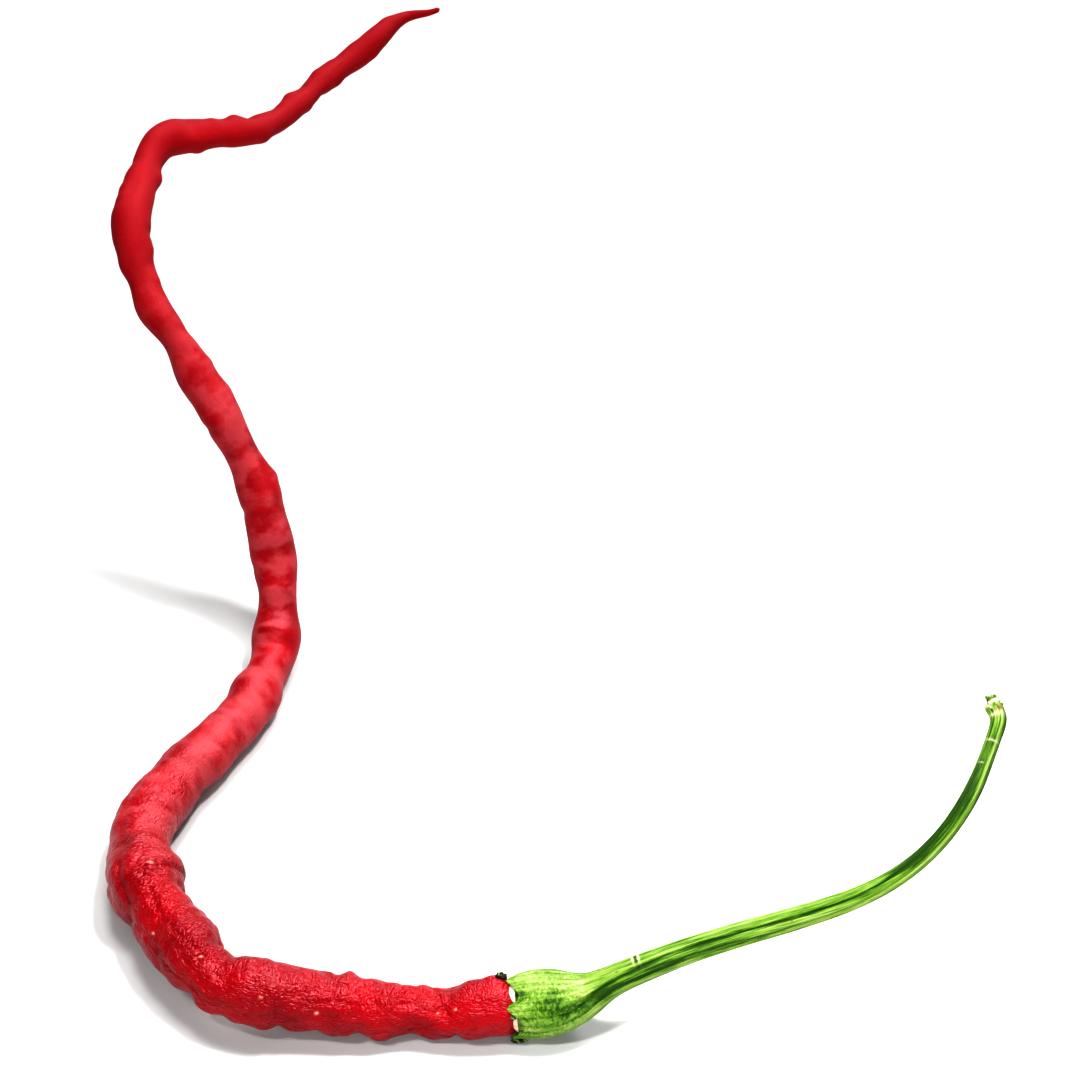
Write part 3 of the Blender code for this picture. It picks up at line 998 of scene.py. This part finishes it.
def closed_mesh(name, rings, first_end, last_end, reads, strips):
    """A closed mesh from rings, its map for baking, and what its finish reads at each point."""
    count, sides = rings.shape[:2]
    points = np.concatenate([rings.reshape(-1, 3), [first_end, last_end]])
    points[:, 2] = np.maximum(points[:, 2], 0.0)
    first, last = count * sides, count * sides + 1
    near = np.arange(sides)
    after = (near + 1) % sides
    top = (count - 1) * sides
    first_fan = np.stack([np.full(sides, first), near, after], axis=1)
    last_fan = np.stack([np.full(sides, last), top + after, top + near], axis=1)
    faces = ring_quads(count, sides).tolist() + first_fan.tolist() + last_fan.tolist()
    mesh = bpy.data.meshes.new(name)
    mesh.from_pydata((points * MM).tolist(), [], faces)
    flat, (left, right, low, high) = strip_map(rings, strips)
    first_tip = (left[0] + right[0]) / 2, low[0] - FAN_REACH
    last_tip = (left[-1] + right[-1]) / 2, high[-1] + FAN_REACH
    first_places = np.stack([*first_tip, left[0], low[0], right[0], low[0]], axis=-1)
    last_places = np.stack([*last_tip, right[-1], high[-1], left[-1], high[-1]], axis=-1)
    places = np.concatenate([flat, first_places.reshape(-1, 2), last_places.reshape(-1, 2)])
    mesh.uv_layers.new(name=BAKE_MAP).data.foreach_set("uv", places.ravel().astype(np.float32))
    for title, values in reads.items():
        wide = values.ndim == 3
        ends = [values[0].mean(axis=0), values[-1].mean(axis=0)]
        column = np.concatenate([values.reshape(-1, 3) if wide else values.reshape(-1), np.array(ends)])
        kind, field = ("FLOAT_VECTOR", "vector") if wide else ("FLOAT", "value")
        mesh.attributes.new(title, kind, "POINT").data.foreach_set(field, column.ravel().astype(np.float32))
    mesh.shade_smooth()
    mesh.validate()
    mesh.update()
    return mesh


def add_piece(name, mesh, material, slot_name, *nodes):
    """Puts a finished mesh in the scene, riding on the chilli's one body."""
    mesh.materials.append(material)
    piece = bpy.data.objects.new(name, mesh)
    bpy.context.scene.collection.objects.link(piece)
    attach(piece, "root")
    if nodes:
        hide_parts(*nodes)
    return piece


def node(tree, kind, values=None, **settings):
    """Adds a node. A socket among the values is linked, and anything else is set."""
    made = tree.nodes.new(kind)
    for name, value in settings.items():
        setattr(made, name, value)
    for key, value in (values or {}).items():
        if isinstance(value, bpy.types.NodeSocket):
            tree.links.new(value, made.inputs[key])
        else:
            made.inputs[key].default_value = value
    return made


def read(tree, name, output="Fac"):
    """What the mesh holds under a name."""
    return node(tree, "ShaderNodeAttribute", attribute_name=name).outputs[output]


def reckon(tree, operation, a, b=0.0, c=0.0):
    """One step of arithmetic."""
    return node(tree, "ShaderNodeMath", {0: a, 1: b, 2: c}, operation=operation).outputs[0]


def stretch(tree, vector, amounts):
    """A vector with each part multiplied."""
    return node(tree, "ShaderNodeVectorMath", {0: vector, 1: amounts}, operation="MULTIPLY").outputs[0]


def noise(tree, vector, scale, detail=2.0, roughness=0.5, distortion=0.0):
    """Cloudy variation from 0 to 1."""
    values = {"Vector": vector, "Scale": scale, "Detail": detail}
    values.update({"Roughness": roughness, "Distortion": distortion})
    return node(tree, "ShaderNodeTexNoise", values).outputs["Fac"]


def spread(tree, value, low, high, to_low=0.0, to_high=1.0):
    """A value moved from one range to another and held inside it."""
    values = {"Value": value, "From Min": low, "From Max": high, "To Min": to_low, "To Max": to_high}
    return node(tree, "ShaderNodeMapRange", values).outputs["Result"]


def mix_value(tree, share, first, second):
    """A number between two."""
    return node(tree, "ShaderNodeMix", {0: share, 2: first, 3: second}, data_type="FLOAT").outputs[0]


def ridges(tree, vector, scale):
    """Small rounded cells with creases between them, from 0 in a crease to about 1."""
    values = {"Vector": vector, "Scale": scale, "Smoothness": 0.25}
    cells = node(tree, "ShaderNodeTexVoronoi", values, feature="SMOOTH_F1").outputs["Distance"]
    return reckon(tree, "SUBTRACT", 1.0, reckon(tree, "POWER", cells, 1.6))


def mix(tree, share, first, second):
    """A colour between two."""
    values = {0: share, 6: first, 7: second}
    return node(tree, "ShaderNodeMix", values, data_type="RGBA").outputs[2]


def new_finish(name):
    """A material with its tree and shader."""
    material = bpy.data.materials.new(name)
    material.use_nodes = True
    return material, material.node_tree, material.node_tree.nodes["Principled BSDF"]


def own_places(tree, along=1.0):
    """Places on the piece itself in millimetres, stretched along X for fibres."""
    place = node(tree, "ShaderNodeTexCoord").outputs["Object"]
    return stretch(tree, place, (along / MM, 1 / MM, 1 / MM))


def relief(tree, shader, height_mm):
    """Sends a height in millimetres to the shader as relief."""
    bump = node(tree, "ShaderNodeBump", {"Strength": 1.0, "Distance": MM, "Height": height_mm})
    tree.links.new(bump.outputs["Normal"], shader.inputs["Normal"])


def red_skin_finish(settings):
    """Glossy to satin red skin: leathery net in front with painted shade between its cells, a painted pink
    sheen as a highlight on the middle, painted shade in the folds, nicks and tan patches.
    """
    material, tree, shader = new_finish("red_skin")
    grain = read(tree, "grain", "Vector")
    leather = read(tree, "leather")
    broad = noise(tree, grain, 0.16, detail=3.0, roughness=0.55)
    cloud = noise(tree, stretch(tree, grain, (0.5, 1.0, 1.0)), 0.6, detail=3.0, roughness=0.6)
    colour = mix(tree, spread(tree, broad, 0.36, 0.66), settings.deep_red, settings.bright_red)
    colour = mix(tree, spread(tree, cloud, 0.5, 0.8, to_high=0.35), colour, settings.warm_red)
    colour = mix(tree, read(tree, "deep"), colour, settings.neck_red)
    # Painted highlight: a pink sheen mixed into the colour of the bend and the middle stretch, where the
    # broad highlights fall.
    mottle = noise(tree, stretch(tree, grain, (1.0, 0.5, 0.5)), 0.36, detail=3.0)
    painted_sheen = reckon(tree, "MULTIPLY", spread(tree, mottle, 0.42, 0.60), read(tree, "painted_sheen"))
    colour = mix(tree, reckon(tree, "MULTIPLY", painted_sheen, 0.48), colour, settings.painted_sheen)
    bent = node(tree, "ShaderNodeTexNoise", {"Vector": grain, "Scale": 0.45, "Detail": 2.0}).outputs["Color"]
    sway = {0: bent, 1: (1.3, 1.3, 1.3), 2: grain}
    bent = node(tree, "ShaderNodeVectorMath", sway, operation="MULTIPLY_ADD")
    long_cells = ridges(tree, stretch(tree, bent.outputs[0], (0.45, 1.0, 1.0)), 3.9)
    cross_cells = ridges(tree, stretch(tree, bent.outputs[0], (1.0, 0.5, 0.5)), 4.0)
    cells = mix_value(tree, read(tree, "ripple"), long_cells, cross_cells)
    # Painted shade in the fine creases between the leathery cells.
    painted_cell_shade = reckon(tree, "MULTIPLY", spread(tree, cells, 0.45, 0.75, to_low=0.30, to_high=0.0), leather)
    colour = mix(tree, painted_cell_shade, colour, settings.painted_crease_shade)
    # Painted shade in the folds, darker the deeper the fold.
    colour = mix(tree, reckon(tree, "MULTIPLY", read(tree, "hollow"), 0.25), colour, settings.painted_crease_shade)
    tan_cloud = spread(tree, noise(tree, grain, 1.6, detail=4.0, roughness=0.7), 0.35, 0.65)
    tan_share = reckon(tree, "MULTIPLY", read(tree, "tan"), tan_cloud)
    colour = mix(tree, reckon(tree, "MULTIPLY", tan_share, 0.6), colour, settings.tan)
    colour = mix(tree, read(tree, "speck"), colour, settings.nick)
    tree.links.new(colour, shader.inputs["Base Color"])
    pores = noise(tree, grain, 5.5, roughness=0.6)
    height = reckon(tree, "MULTIPLY", cells, 0.21)
    height = reckon(tree, "MULTIPLY_ADD", pores, 0.08, height)
    height = reckon(tree, "MULTIPLY", height, reckon(tree, "MULTIPLY_ADD", leather, 0.95, 0.05))
    relief(tree, shader, height)
    rough = settings.roughness + 0.12
    shifts = ((leather, -0.23), (pores, 0.10), (read(tree, "deep"), 0.30), (painted_sheen, 0.16), (tan_share, 0.25))
    for field, shift in shifts:
        rough = reckon(tree, "MULTIPLY_ADD", field, shift, rough)
    tree.links.new(rough, shader.inputs["Roughness"])
    shader.inputs["Specular IOR Level"].default_value = 0.8
    shader.inputs["Specular Tint"].default_value = settings.shine_tint
    return material


def green_stalk_finish(settings):
    """Matt green: yellow-green ridges, painted shade in the grooves, bands of painted light and shade along
    the stalk, mottled calyx, pale scars and brown flecks.
    """
    material, tree, shader = new_finish("green_stalk")
    grain = read(tree, "grain", "Vector")
    calyx = read(tree, "calyx")
    streaks = noise(tree, stretch(tree, grain, (0.06, 1.0, 1.0)), 3.2, detail=4.0, roughness=0.66)
    cells = noise(tree, stretch(tree, grain, (0.7, 1.0, 1.0)), 3.2, detail=4.0, roughness=0.7)
    broad = noise(tree, stretch(tree, grain, (0.35, 1.0, 1.0)), 0.6, detail=3.0)
    light = reckon(tree, "SUBTRACT", streaks, 0.5)
    light = reckon(tree, "MULTIPLY", light, reckon(tree, "MULTIPLY_ADD", calyx, -0.8, 1.9))
    light = reckon(tree, "ADD", light, reckon(tree, "MULTIPLY_ADD", calyx, 0.09, -0.11))
    light = reckon(tree, "MULTIPLY_ADD", reckon(tree, "SUBTRACT", broad, 0.5), 0.7, light)
    mottling = reckon(tree, "MULTIPLY_ADD", calyx, 1.3, 0.3)
    mottling = reckon(tree, "MULTIPLY", reckon(tree, "SUBTRACT", cells, 0.5), mottling)
    light = reckon(tree, "ADD", mottling, light)
    light = reckon(tree, "ADD", read(tree, "tone"), light)
    ramp = node(tree, "ShaderNodeValToRGB", {0: reckon(tree, "ADD", light, 0.5)})
    stops = ramp.color_ramp.elements
    stops[0].position, stops[0].color = 0.12, settings.groove_green
    stops[1].position, stops[1].color = 0.98, settings.dust
    for place, colour in ((0.42, settings.leaf_green), (0.76, settings.ridge_green)):
        stop = stops.new(place)
        stop.color = colour
    colour = ramp.outputs[0]
    # Pale patches near the broken end, mixed towards the ramp's palest colour.
    dust = reckon(tree, "MULTIPLY", read(tree, "pale_patch"), spread(tree, cells, 0.45, 0.6))
    colour = mix(tree, reckon(tree, "MULTIPLY", dust, 0.6), colour, settings.dust)
    flecks = spread(tree, noise(tree, grain, 1.3, detail=3.0, roughness=0.7), 0.70, 0.76)
    colour = mix(tree, flecks, colour, settings.brown)
    colour = mix(tree, read(tree, "brown"), colour, settings.brown)
    colour = mix(tree, read(tree, "scar"), colour, settings.scar)
    colour = mix(tree, read(tree, "cut"), colour, settings.scar)
    tree.links.new(colour, shader.inputs["Base Color"])
    height = reckon(tree, "MULTIPLY", streaks, 0.14)
    height = reckon(tree, "MULTIPLY_ADD", cells, reckon(tree, "MULTIPLY_ADD", calyx, 0.14, 0.04), height)
    relief(tree, shader, height)
    tree.links.new(spread(tree, cells, 0.3, 0.7, to_low=0.42, to_high=0.62), shader.inputs["Roughness"])
    shader.inputs["Specular IOR Level"].default_value = 0.4
    return material


def dried_husk_finish(settings):
    """Dried, near-black husk with pale torn fibres."""
    material, tree, shader = new_finish("dried_husk")
    place = own_places(tree)
    patchy = noise(tree, place, 1.3, detail=4.0, roughness=0.65, distortion=0.4)
    colour = mix(tree, spread(tree, patchy, 0.50, 0.60), settings.husk, settings.leaf_green)
    colour = mix(tree, spread(tree, patchy, 0.58, 0.66), colour, settings.scar)
    tree.links.new(colour, shader.inputs["Base Color"])
    relief(tree, shader, reckon(tree, "MULTIPLY", patchy, 0.3))
    shader.inputs["Roughness"].default_value = 0.6
    return material


def torn_fibre_finish(settings):
    """Pale torn fibres of the stalk's broken end, with green and black between them."""
    material, tree, shader = new_finish("torn_fibre")
    place = own_places(tree)
    patchy = noise(tree, place, 0.9, detail=4.0, roughness=0.7, distortion=0.6)
    colour = mix(tree, spread(tree, patchy, 0.36, 0.46), settings.husk, settings.leaf_green)
    colour = mix(tree, spread(tree, patchy, 0.46, 0.54), colour, settings.torn)
    tree.links.new(colour, shader.inputs["Base Color"])
    relief(tree, shader, reckon(tree, "MULTIPLY", patchy, 0.4))
    shader.inputs["Roughness"].default_value = 0.7
    return material


def rim_lining_finish(settings):
    """Cream inner tissue with a faint pink cast and short fibres."""
    material, tree, shader = new_finish("rim_lining")
    place = own_places(tree, 0.4)
    fibres = noise(tree, place, 2.4, detail=3.0, roughness=0.6)
    colour = mix(tree, spread(tree, fibres, 0.35, 0.65), settings.lining, settings.scar)
    tree.links.new(colour, shader.inputs["Base Color"])
    relief(tree, shader, reckon(tree, "MULTIPLY", fibres, 0.12))
    shader.inputs["Roughness"].default_value = 0.65
    return material


class ChilliPodSettings(bpy.types.PropertyGroup):
    """How finely the pod is made, how deep its wrinkles are, and its colours."""

    sides: bpy.props.IntProperty(
        name="Sides",
        description="Points round each ring of the pod",
        default=118,
        min=24,
        max=240,
    )
    wrinkle_depth: bpy.props.FloatProperty(
        name="Wrinkle Depth",
        description="Depth of the fine wrinkles where the skin is most leathery",
        default=0.00022,
        min=0.0,
        unit="LENGTH",
        precision=5,
    )
    lump_height: bpy.props.FloatProperty(
        name="Lump Height",
        description="Height of the soft lumps all along the pod",
        default=0.00050,
        min=0.0,
        unit="LENGTH",
        precision=5,
    )
    roughness: bpy.props.FloatProperty(
        name="Roughness",
        description="Roughness of the red skin",
        default=0.36,
        min=0.0,
        max=1.0,
        subtype="FACTOR",
    )
    bright_red: bpy.props.FloatVectorProperty(
        name="Bright Red",
        description="The skin's plain red",
        subtype="COLOR",
        size=4,
        default=(0.27, 0.0, 0.005, 1),
    )
    deep_red: bpy.props.FloatVectorProperty(
        name="Deep Red",
        description="Darker areas of the skin",
        subtype="COLOR",
        size=4,
        default=(0.165, 0.0, 0.004, 1),
    )
    shine_tint: bpy.props.FloatVectorProperty(
        name="Shine Tint",
        description="Colour of the skin's shine",
        subtype="COLOR",
        size=4,
        default=(1.0, 0.44, 0.50, 1),
    )
    neck_red: bpy.props.FloatVectorProperty(
        name="Neck Red",
        description="The deep red of the neck and tip",
        subtype="COLOR",
        size=4,
        default=(0.225, 0.0, 0.004, 1),
    )
    warm_red: bpy.props.FloatVectorProperty(
        name="Warm Red",
        description="Lighter clouds in the skin",
        subtype="COLOR",
        size=4,
        default=(0.27, 0.002, 0.009, 1),
    )
    # Colour of the painted pink sheen, a painted highlight.
    painted_sheen: bpy.props.FloatVectorProperty(
        name="Painted Sheen",
        description="The dull pink bloom on the middle",
        subtype="COLOR",
        size=4,
        default=(0.39, 0.085, 0.095, 1),
    )
    # Colour of the painted shade in creases and folds.
    painted_crease_shade: bpy.props.FloatVectorProperty(
        name="Painted Crease Shade",
        description="The bottoms of creases",
        subtype="COLOR",
        size=4,
        default=(0.15, 0.0, 0.005, 1),
    )
    tan: bpy.props.FloatVectorProperty(
        name="Tan",
        description="Dull rubbed patches",
        subtype="COLOR",
        size=4,
        default=(0.40, 0.014, 0.018, 1),
    )
    nick: bpy.props.FloatVectorProperty(
        name="Nick",
        description="Pale dots in the skin",
        subtype="COLOR",
        size=4,
        default=(0.80, 0.45, 0.30, 1),
    )


class ChilliStalkSettings(bpy.types.PropertyGroup):
    """How finely the calyx and stalk are made, their relief, and their colours."""

    sides: bpy.props.IntProperty(
        name="Sides",
        description="Points round each ring of the stalk",
        default=96,
        min=24,
        max=240,
    )
    fibre_height: bpy.props.FloatProperty(
        name="Fibre Height",
        description="Height of the lengthwise fibres",
        default=0.000035,
        min=0.0,
        unit="LENGTH",
        precision=6,
    )
    mottle_height: bpy.props.FloatProperty(
        name="Mottle Height",
        description="Height of the calyx's small lumps",
        default=0.000030,
        min=0.0,
        unit="LENGTH",
        precision=6,
    )
    ridge_green: bpy.props.FloatVectorProperty(
        name="Ridge Green",
        description="Tops of the ridges",
        subtype="COLOR",
        size=4,
        default=(0.225, 0.30, 0.08, 1),
    )
    leaf_green: bpy.props.FloatVectorProperty(
        name="Leaf Green",
        description="The plain green",
        subtype="COLOR",
        size=4,
        default=(0.098, 0.195, 0.016, 1),
    )
    groove_green: bpy.props.FloatVectorProperty(
        name="Groove Green",
        description="Grooves and dark areas",
        subtype="COLOR",
        size=4,
        default=(0.018, 0.055, 0.003, 1),
    )
    dust: bpy.props.FloatVectorProperty(
        name="Dust",
        description="Pale rubbed skin",
        subtype="COLOR",
        size=4,
        default=(0.31, 0.37, 0.25, 1),
    )
    brown: bpy.props.FloatVectorProperty(
        name="Brown",
        description="Small brown flecks",
        subtype="COLOR",
        size=4,
        default=(0.13, 0.06, 0.012, 1),
    )
    scar: bpy.props.FloatVectorProperty(
        name="Scar",
        description="Pale scars across the stalk",
        subtype="COLOR",
        size=4,
        default=(0.50, 0.44, 0.32, 1),
    )
    lining: bpy.props.FloatVectorProperty(
        name="Lining",
        description="The tissue inside the rim",
        subtype="COLOR",
        size=4,
        default=(0.38, 0.26, 0.23, 1),
    )
    husk: bpy.props.FloatVectorProperty(
        name="Husk",
        description="Dried bits",
        subtype="COLOR",
        size=4,
        default=(0.012, 0.008, 0.005, 1),
    )
    torn: bpy.props.FloatVectorProperty(
        name="Torn Fibre",
        description="The broken end",
        subtype="COLOR",
        size=4,
        default=(0.60, 0.62, 0.42, 1),
    )


class ChilliStageSettings(bpy.types.PropertyGroup):
    """The floor, the lights and the camera."""

    floor_colour: bpy.props.FloatVectorProperty(
        name="Floor Colour",
        description="The pale table",
        subtype="COLOR",
        size=4,
        default=(0.46, 0.46, 0.46, 1),
    )
    floor_size: bpy.props.FloatProperty(
        name="Floor Size",
        description="Length of the floor's side",
        default=8.0,
        min=1.0,
        unit="LENGTH",
    )
    fill_strength: bpy.props.FloatProperty(
        name="Fill Light",
        description="Strength of the even light from the whole ceiling",
        default=0.36,
        min=0.0,
    )
    fill_angle: bpy.props.FloatProperty(
        name="Fill Width",
        description="How wide the fill light looks, which softens its shadows",
        default=math.radians(110),
        unit="ROTATION",
    )
    overhead_power: bpy.props.FloatProperty(
        name="Overhead Light",
        description="Power of the softbox overhead",
        default=6.0,
        min=0.0,
        unit="POWER",
    )
    back_power: bpy.props.FloatProperty(
        name="Back Light",
        description="Power of the softbox behind on the right",
        default=10.0,
        min=0.0,
        unit="POWER",
    )
    front_power: bpy.props.FloatProperty(
        name="Front Light",
        description="Power of the soft fill light in front",
        default=10.0,
        min=0.0,
        unit="POWER",
    )
    pod_spot_power: bpy.props.FloatProperty(
        name="Pod Spot",
        description="Power of the spot on the pod",
        default=27.0,
        min=0.0,
        unit="POWER",
    )
    stalk_spot_power: bpy.props.FloatProperty(
        name="Stalk Spot",
        description="Power of the spot on the stalk",
        default=40.0,
        min=0.0,
        unit="POWER",
    )
    pod_spot_width: bpy.props.FloatProperty(
        name="Pod Spot Width",
        description="Angle of its cone",
        default=math.radians(18),
        unit="ROTATION",
    )
    stalk_spot_width: bpy.props.FloatProperty(
        name="Stalk Spot Width",
        description="Angle of its cone",
        default=math.radians(15),
        unit="ROTATION",
    )
    surround: bpy.props.FloatProperty(
        name="Surround",
        description="Brightness of the white room",
        default=0.05,
        min=0.0,
        soft_max=2.0,
    )
    lens: bpy.props.FloatProperty(
        name="Lens",
        description="Focal length in millimetres",
        default=98.03,
        min=1.0,
        unit="CAMERA",
    )
    camera_place: bpy.props.FloatVectorProperty(
        name="Camera Place",
        description="Where the camera stands",
        default=(0.0013, -0.3499, 0.310),
        unit="LENGTH",
    )
    camera_tilt: bpy.props.FloatProperty(
        name="Camera Tilt",
        description="Angle below the horizon",
        default=math.radians(40),
        unit="ROTATION",
    )


class CHILLI_OT_make_pod(bpy.types.Operator):
    """Make the red pod in place of its plain solid"""

    bl_idname = "chilli.make_pod"
    bl_label = "Make Pod"

    def execute(self, context):
        settings = context.scene.chilli_pod
        rings, first_end, last_end, reads = pod_skin(settings)
        mesh = closed_mesh("pod_skin", rings, first_end, last_end, reads, 3)
        add_piece("pod_skin", mesh, red_skin_finish(settings), "red_skin", "pod")
        return {"FINISHED"}


class CHILLI_OT_make_stalk(bpy.types.Operator):
    """Make the calyx and stalk in place of their plain solid"""

    bl_idname = "chilli.make_stalk"
    bl_label = "Make Stalk"

    def execute(self, context):
        settings = context.scene.chilli_stalk
        rings, first_end, last_end, reads = stalk_skin(settings)
        mesh = closed_mesh("stalk_skin", rings, first_end, last_end, reads, 2)
        add_piece("stalk_skin", mesh, green_stalk_finish(settings), "green_stalk", "stalk")
        return {"FINISHED"}


class CHILLI_OT_make_lining(bpy.types.Operator):
    """Make the cream lining that shows where the calyx's edge falls short"""

    bl_idname = "chilli.make_lining"
    bl_label = "Make Rim Lining"

    def execute(self, context):
        settings = context.scene.chilli_stalk
        mesh = band_mesh("rim_lining", lining_rings(settings.sides))
        add_piece("rim_lining", mesh, rim_lining_finish(settings), "green_stalk")
        return {"FINISHED"}


class CHILLI_OT_make_dried_bits(bpy.types.Operator):
    """Make the dried bits on the calyx's rim and the stalk's broken end"""

    bl_idname = "chilli.make_dried_bits"
    bl_label = "Make Dried Bits"

    def execute(self, context):
        settings = context.scene.chilli_stalk
        husk = dried_husk_finish(settings)
        middle, axis, side, up = rim_frame()
        for name, clock, place, reach, sizes, lean, draw in DRIED_BITS:
            turn = math.radians(clock)
            out = math.cos(turn) * side + math.sin(turn) * up
            ahead = axis * math.cos(lean) - out * math.sin(lean)
            directions = (ahead, np.cross(out, axis), np.cross(ahead, np.cross(out, axis)))
            centre = middle + axis * place + out * reach
            add_piece(name, lump_mesh(name, centre, directions, sizes, draw), husk, "green_stalk")
        torn = torn_fibre_finish(settings)
        for name, centre, directions, sizes, draw in BROKEN_BITS:
            add_piece(name, lump_mesh(name, centre, directions, sizes, draw), torn, "green_stalk")
        return {"FINISHED"}


def aim(thing, target):
    """Turns a light to face a point."""
    direction = Vector(target) - thing.location
    thing.rotation_mode = "QUATERNION"
    thing.rotation_quaternion = direction.to_track_quat("-Z", "Y")


def add_softbox(name, place, target, side, power, shines=True):
    """A square soft light, which shows as a highlight on what it lights where it shines."""
    lamp = bpy.data.lights.new(name, "AREA")
    lamp.shape = "SQUARE"
    lamp.size = side
    lamp.energy = power
    box = bpy.data.objects.new(name, lamp)
    box.location = place
    box.visible_camera = False
    box.visible_glossy = shines
    bpy.context.scene.collection.objects.link(box)
    aim(box, target)


def add_spot(name, place, target, width, power, shines=False):
    """A spot whose light fades softly towards the edge of its cone."""
    lamp = bpy.data.lights.new(name, "SPOT")
    lamp.spot_size = width
    lamp.spot_blend = 1.0
    lamp.shadow_soft_size = SPOT_SOFTNESS
    lamp.energy = power
    spot = bpy.data.objects.new(name, lamp)
    spot.location = place
    spot.visible_glossy = shines
    bpy.context.scene.collection.objects.link(spot)
    aim(spot, target)


def lay_floor(settings):
    """A level pale floor under the chilli."""
    half = settings.floor_size / 2
    corners = [(-half, -half, 0), (half, -half, 0), (half, half, 0), (-half, half, 0)]
    mesh = bpy.data.meshes.new("floor")
    mesh.from_pydata(corners, [], [(0, 1, 2, 3)])
    material, tree, shader = new_finish("floor_white")
    shader.inputs["Base Color"].default_value = settings.floor_colour
    shader.inputs["Roughness"].default_value = 0.9
    shader.inputs["Specular IOR Level"].default_value = 0.0
    mesh.materials.append(material)
    floor = bpy.data.objects.new("floor", mesh)
    bpy.context.scene.collection.objects.link(floor)


def add_ceiling_fill(settings):
    """Even light from the whole ceiling."""
    sun = bpy.data.lights.new("ceiling_fill", "SUN")
    sun.energy = settings.fill_strength
    sun.angle = settings.fill_angle
    fill = bpy.data.objects.new("ceiling_fill", sun)
    fill.location = CEILING_PLACE
    fill.visible_glossy = False
    bpy.context.scene.collection.objects.link(fill)
    aim(fill, TABLE_MIDDLE)


def set_room(settings):
    """The white room round the table, and the picture's contrast."""
    world = bpy.data.worlds.new("white_room")
    world.use_nodes = True
    backdrop = world.node_tree.nodes["Background"]
    backdrop.inputs["Color"].default_value = (1.0, 1.0, 1.0, 1.0)
    backdrop.inputs["Strength"].default_value = settings.surround
    scene = bpy.context.scene
    scene.world = world
    scene.view_settings.view_transform = "Standard"
    scene.view_settings.look = "Very High Contrast"


def set_camera(settings):
    """The camera in front of the table, looking down at it."""
    lens = bpy.data.cameras.new("camera")
    lens.sensor_width = 36.0
    lens.lens = settings.lens
    lens.clip_start = 0.01
    lens.clip_end = 50.0
    camera = bpy.data.objects.new("camera", lens)
    camera.location = settings.camera_place
    camera.rotation_euler = (math.pi / 2 - settings.camera_tilt, 0.0, 0.0)
    bpy.context.scene.collection.objects.link(camera)
    bpy.context.scene.camera = camera


class CHILLI_OT_set_stage(bpy.types.Operator):
    """Lay the pale floor and set up the lights, the surroundings and the camera"""

    bl_idname = "chilli.set_stage"
    bl_label = "Set Stage"

    def execute(self, context):
        settings = context.scene.chilli_stage
        lay_floor(settings)
        add_ceiling_fill(settings)
        add_softbox("overhead_softbox", OVERHEAD_PLACE, TABLE_MIDDLE, OVERHEAD_SIDE, settings.overhead_power)
        add_softbox("back_softbox", BACK_PLACE, TABLE_MIDDLE, BACK_SIDE, settings.back_power)
        add_softbox("front_softbox", FRONT_PLACE, TABLE_MIDDLE, FRONT_SIDE, settings.front_power, False)
        pod_light = settings.pod_spot_width, settings.pod_spot_power
        stalk_light = settings.stalk_spot_width, settings.stalk_spot_power
        add_spot("pod_spot", POD_SPOT_PLACE, POD_SPOT_TARGET, *pod_light, True)
        add_spot("stalk_spot", STALK_SPOT_PLACE, STALK_SPOT_TARGET, *stalk_light)
        set_room(settings)
        set_camera(settings)
        return {"FINISHED"}


class CHILLI_PT_panel(bpy.types.Panel):
    """Lists the chilli's settings and operators"""

    bl_label = "Long Red Chilli"
    bl_idname = "CHILLI_PT_panel"
    bl_space_type = "VIEW_3D"
    bl_region_type = "UI"
    bl_category = "Chilli"

    def draw(self, context):
        for title, group, operators in PANEL_ROWS:
            box = self.layout.box()
            box.label(text=title)
            settings = getattr(context.scene, group)
            for name in settings.__annotations__:
                box.prop(settings, name)
            for operator in operators:
                box.operator(operator)


PANEL_ROWS = (
    ("Pod", "chilli_pod", ("chilli.make_pod",)),
    (
        "Calyx and Stalk",
        "chilli_stalk",
        ("chilli.make_stalk", "chilli.make_lining", "chilli.make_dried_bits"),
    ),
    ("Stage", "chilli_stage", ("chilli.set_stage",)),
)
SETTINGS = (
    ("chilli_pod", ChilliPodSettings),
    ("chilli_stalk", ChilliStalkSettings),
    ("chilli_stage", ChilliStageSettings),
)
OPERATORS = (
    CHILLI_OT_make_pod,
    CHILLI_OT_make_stalk,
    CHILLI_OT_make_lining,
    CHILLI_OT_make_dried_bits,
    CHILLI_OT_set_stage,
)


def register():
    """Registers the settings, operators and panel."""
    for name, group in SETTINGS:
        bpy.utils.register_class(group)
        setattr(bpy.types.Scene, name, bpy.props.PointerProperty(type=group))
    for kind in OPERATORS + (CHILLI_PT_panel,):
        bpy.utils.register_class(kind)


def unregister():
    """Removes what register added."""
    for kind in (CHILLI_PT_panel,) + OPERATORS[::-1]:
        bpy.utils.unregister_class(kind)
    for name, group in reversed(SETTINGS):
        delattr(bpy.types.Scene, name)
        bpy.utils.unregister_class(group)


def main():
    """Makes every piece and the stage, in order."""
    register()
    bpy.ops.chilli.make_pod()
    bpy.ops.chilli.make_stalk()
    bpy.ops.chilli.make_lining()
    bpy.ops.chilli.make_dried_bits()
    bpy.ops.chilli.set_stage()


if __name__ == "__main__":
    main()
